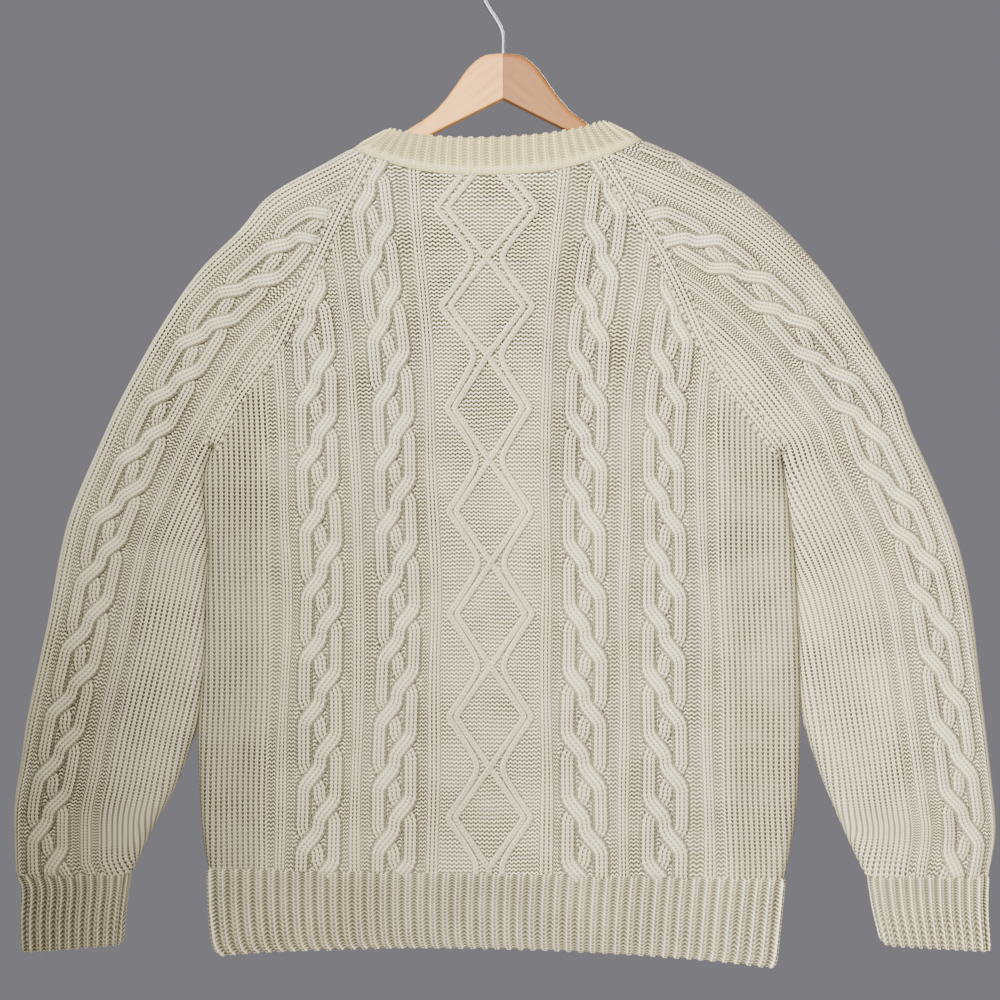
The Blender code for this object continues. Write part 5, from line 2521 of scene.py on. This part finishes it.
@dataclass
class Neckband:
    """The ribbed band round the neck.

    Attributes:
        finish: Its material.
        stitch: Its rib.
        row_count: How many rows of points it has.
        length: How far up it reaches.
    """

    finish: bpy.types.Material
    stitch: RibStitch = RibStitch(0.0087, 0.0013, -0.0009, course=0.0027, calm=0.5,
                                  valley_shade=0.5)
    row_count: int = 14
    length: float = 0.034

    def half(self, layer: Layer, ribs: int) -> Array:
        """The points of one layer, from the left fold to the right one.

        Args:
            layer: The layer.
            ribs: How many ribs it has.

        Returns:
            x and z by row and column.
        """
        fine = np.linspace(0, 1, 401)
        line = band_point(fine, layer, 0.5)
        along = lengths(line)
        total = along[-1] + 2 * FOLD_SURPLUS
        arc = np.linspace(0, total, ribs * self.stitch.columns + 1)
        place = np.where(arc < total / 2, inside_of(arc), along[-1] - inside_of(total - arc))
        share = np.interp(place, along, fine)
        heights = np.linspace(0, 1, self.row_count)
        return np.stack([band_point(self.leaned(share, up), layer, up) for up in heights])

    @staticmethod
    def leaned(share: Array, height: float) -> Array:
        """Where the ribs lie that stand upright in the middle and lean in only at the folds.

        Args:
            share: How far across each rib is at the neck seam, from 0 to 1.
            height: How far up the band, from 0 to 1.

        Returns:
            How far across each is at that height.
        """
        reach = (BAND_SEAM.right_x - BAND_SEAM.left_x) / 2
        narrowed = reach - (BAND_EDGE.right_x - BAND_EDGE.left_x) / 2
        from_middle = 2 * share - 1
        lean = 0.88 * np.abs(from_middle) ** 3.2 * np.sign(from_middle) + 0.12 * from_middle
        across = (reach * from_middle - narrowed * height * lean) / (reach - narrowed * height)
        return (across + 1) / 2

    def build(self) -> None:
        """Adds the band."""
        counts = {}
        for layer in Layer:
            line = band_point(np.linspace(0, 1, 101), layer, 0.5)
            counts[layer] = self.stitch.count(float(lengths(line)[-1]) + 2 * FOLD_SURPLUS)
        back, front = (self.half(layer, counts[layer]) for layer in Layer)
        points = np.concatenate([back, front[:, -2::-1]], axis=1)
        ribs = counts[Layer.BACK] + counts[Layer.FRONT]
        side = np.full(points.shape[:2], Layer.FRONT.value)
        side[:, :back.shape[1]] = Layer.BACK.value
        share_up = np.linspace(0, 1, self.row_count)
        points[:, :, 1] += self.stitch.lips(ribs, share_up)
        seam = np.array(BAND_SEAM) * MM
        edge = np.array(BAND_EDGE) * MM
        folds = []
        for fold_side, low, high in zip(Side, (seam[:2], seam[2:]), (edge[:2], edge[2:])):
            step = high - low
            folds.append(Fold(np.array([high + step, low - step]), fold_side))
        band = RibBand("neckband", self.stitch, self.finish, "neckband_knit", (0.004, 0.010),
                       seam_shade=0.4)
        piece = band.sheet(points[::-1], side[::-1], Drape(tuple(folds), 0.0), ribs,
                           share_up * self.length, True, False)
        hung_sheet(piece, ribs * self.stitch.pitch, self.length, HANGER_ARMS)


@dataclass(frozen=True)
class Studio:
    """The floor, the lights and the camera.

    Attributes:
        eye: Where the camera is.
        lens: Its focal length in millimetres.
        floor_z: The height of the floor.
    """

    eye: tuple[float, float, float] = (-0.0027, -1.6, -0.474)
    lens: float = 63.76
    floor_z: float = -1.27

    def build(self) -> None:
        """Adds them all."""
        self.floor()
        self.world()
        self.area("key_light", (-0.42, -1.2, 0.12), (1.45, 0.0, 1.15), 0.8, 106)
        self.area("fill_light", (-0.12, -1.197, -0.792), (5.244, 0.0, -2.157), 0.8, 54)
        self.area("edge_light", (1.3, -1.2, -0.3), (0.4, 0.0, -0.5), 0.8, 12, (1, 0.84, 0.82))
        self.area("far_light", (0.3, 1.8, 0.5), (0.0, 0.0, -0.45), 1.2, 60)
        camera = bpy.data.objects.new("camera", bpy.data.cameras.new("camera"))
        camera.data.lens = self.lens
        camera.data.clip_start = 0.01
        camera.location = self.eye
        camera.rotation_euler = (math.radians(90), 0, 0)
        bpy.context.scene.collection.objects.link(camera)
        bpy.context.scene.camera = camera

    def floor(self) -> None:
        """A plain pale floor, well below the garment."""
        bpy.ops.mesh.primitive_circle_add(vertices=96, radius=0.75, fill_type="NGON",
                                          location=(0, 0, self.floor_z))
        floor = bpy.context.active_object
        floor.name = "floor"
        bpy.ops.object.transform_apply(location=True, rotation=True, scale=True)
        weave = Weaver("floor_paint")
        place = weave.node("ShaderNodeTexCoord").outputs["Object"]
        shade = weave.ramp(weave.noise(place, 3, 3), 0.3, 0.7)
        paint = weave.mix(shade, (0.66, 0.655, 0.64, 1), (0.72, 0.715, 0.70, 1))
        weave.feed_all(weave.shader, {"Base Color": paint, "Roughness": 0.7})
        floor.data.materials.append(weave.material)
        floor.select_set(False)

    @staticmethod
    def world() -> None:
        """An even grey surround."""
        world = bpy.data.worlds.new("studio")
        world.use_nodes = True
        ground = world.node_tree.nodes["Background"]
        ground.inputs["Color"].default_value = (0.205, 0.20, 0.222, 1)
        ground.inputs["Strength"].default_value = 1.0
        bpy.context.scene.world = world

    @staticmethod
    def area(name: str, place: tuple[float, float, float], aim: tuple[float, float, float],
             size: float, power: float, colour: tuple[float, float, float] = (1, 1, 1)) -> None:
        """A soft square light.

        Args:
            name: Its name.
            place: Where it is.
            aim: The point that it shines at.
            size: The length of its sides.
            power: Its power in watts.
            colour: Its colour.
        """
        light = bpy.data.lights.new(name, "AREA")
        light.size = size
        light.energy = power
        light.color = colour
        lamp = bpy.data.objects.new(name, light)
        lamp.location = place
        towards = Vector(aim) - Vector(place)
        lamp.rotation_euler = towards.to_track_quat("-Z", "Y").to_euler()
        bpy.context.scene.collection.objects.link(lamp)


def dress_hanger() -> None:
    """Gives the hanger's solids their wood and steel."""
    # Both arms are one beech, painted lit on the left arm and painted shaded on the right one
    lit_left_wood = WoodFinish("beech_lit_left", (0.62, 0.29, 0.072, 1), (0.43, 0.172, 0.034, 1))
    shaded_right_wood = WoodFinish("beech_right", (0.215, 0.083, 0.015, 1), (0.143, 0.05, 0.008, 1))
    for name, look in zip((*HANGER_ARMS, "hanger_hook"), (lit_left_wood, shaded_right_wood, SteelFinish())):
        finish = look.build()
        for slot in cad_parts[name].material_slots:
            slot.material = finish
        LOG.info("%s: %s", name, finish.name)


def main() -> None:
    """Builds the garment, the hanger's finishes and the stage."""
    logging.basicConfig(level=logging.INFO, format="%(name)s: %(message)s")
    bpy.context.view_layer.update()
    for obj in bpy.context.selected_objects:
        obj.select_set(False)
    cream = CREAM.build()
    body = BodyLayout()
    for layer in Layer:
        Panel(layer, body, cream).build()
    left = SleeveLayout(Side.LEFT, LEFT_SLEEVE, LEFT_CUFF, LEFT_GAP_HEIGHTS, LEFT_GAP_INSIDE,
                        LEFT_MIDDLE_WIDTH)
    right = SleeveLayout(Side.RIGHT, RIGHT_SLEEVE, RIGHT_CUFF, RIGHT_GAP_HEIGHTS, RIGHT_GAP_INSIDE,
                         RIGHT_MIDDLE_WIDTH)
    Sleeve(left, 0.0827, 0.0602, cream).build()
    Sleeve(right, 0.1330, 0.0638, cream).build()
    for layer in Layer:
        HemRib(layer, body, cream).build()
    for layout in (left, right):
        Cuff(layout, cream).build()
    Neckband(BAND.build()).build()
    dress_hanger()
    Studio().build()


if __name__ == "__main__":
    main()
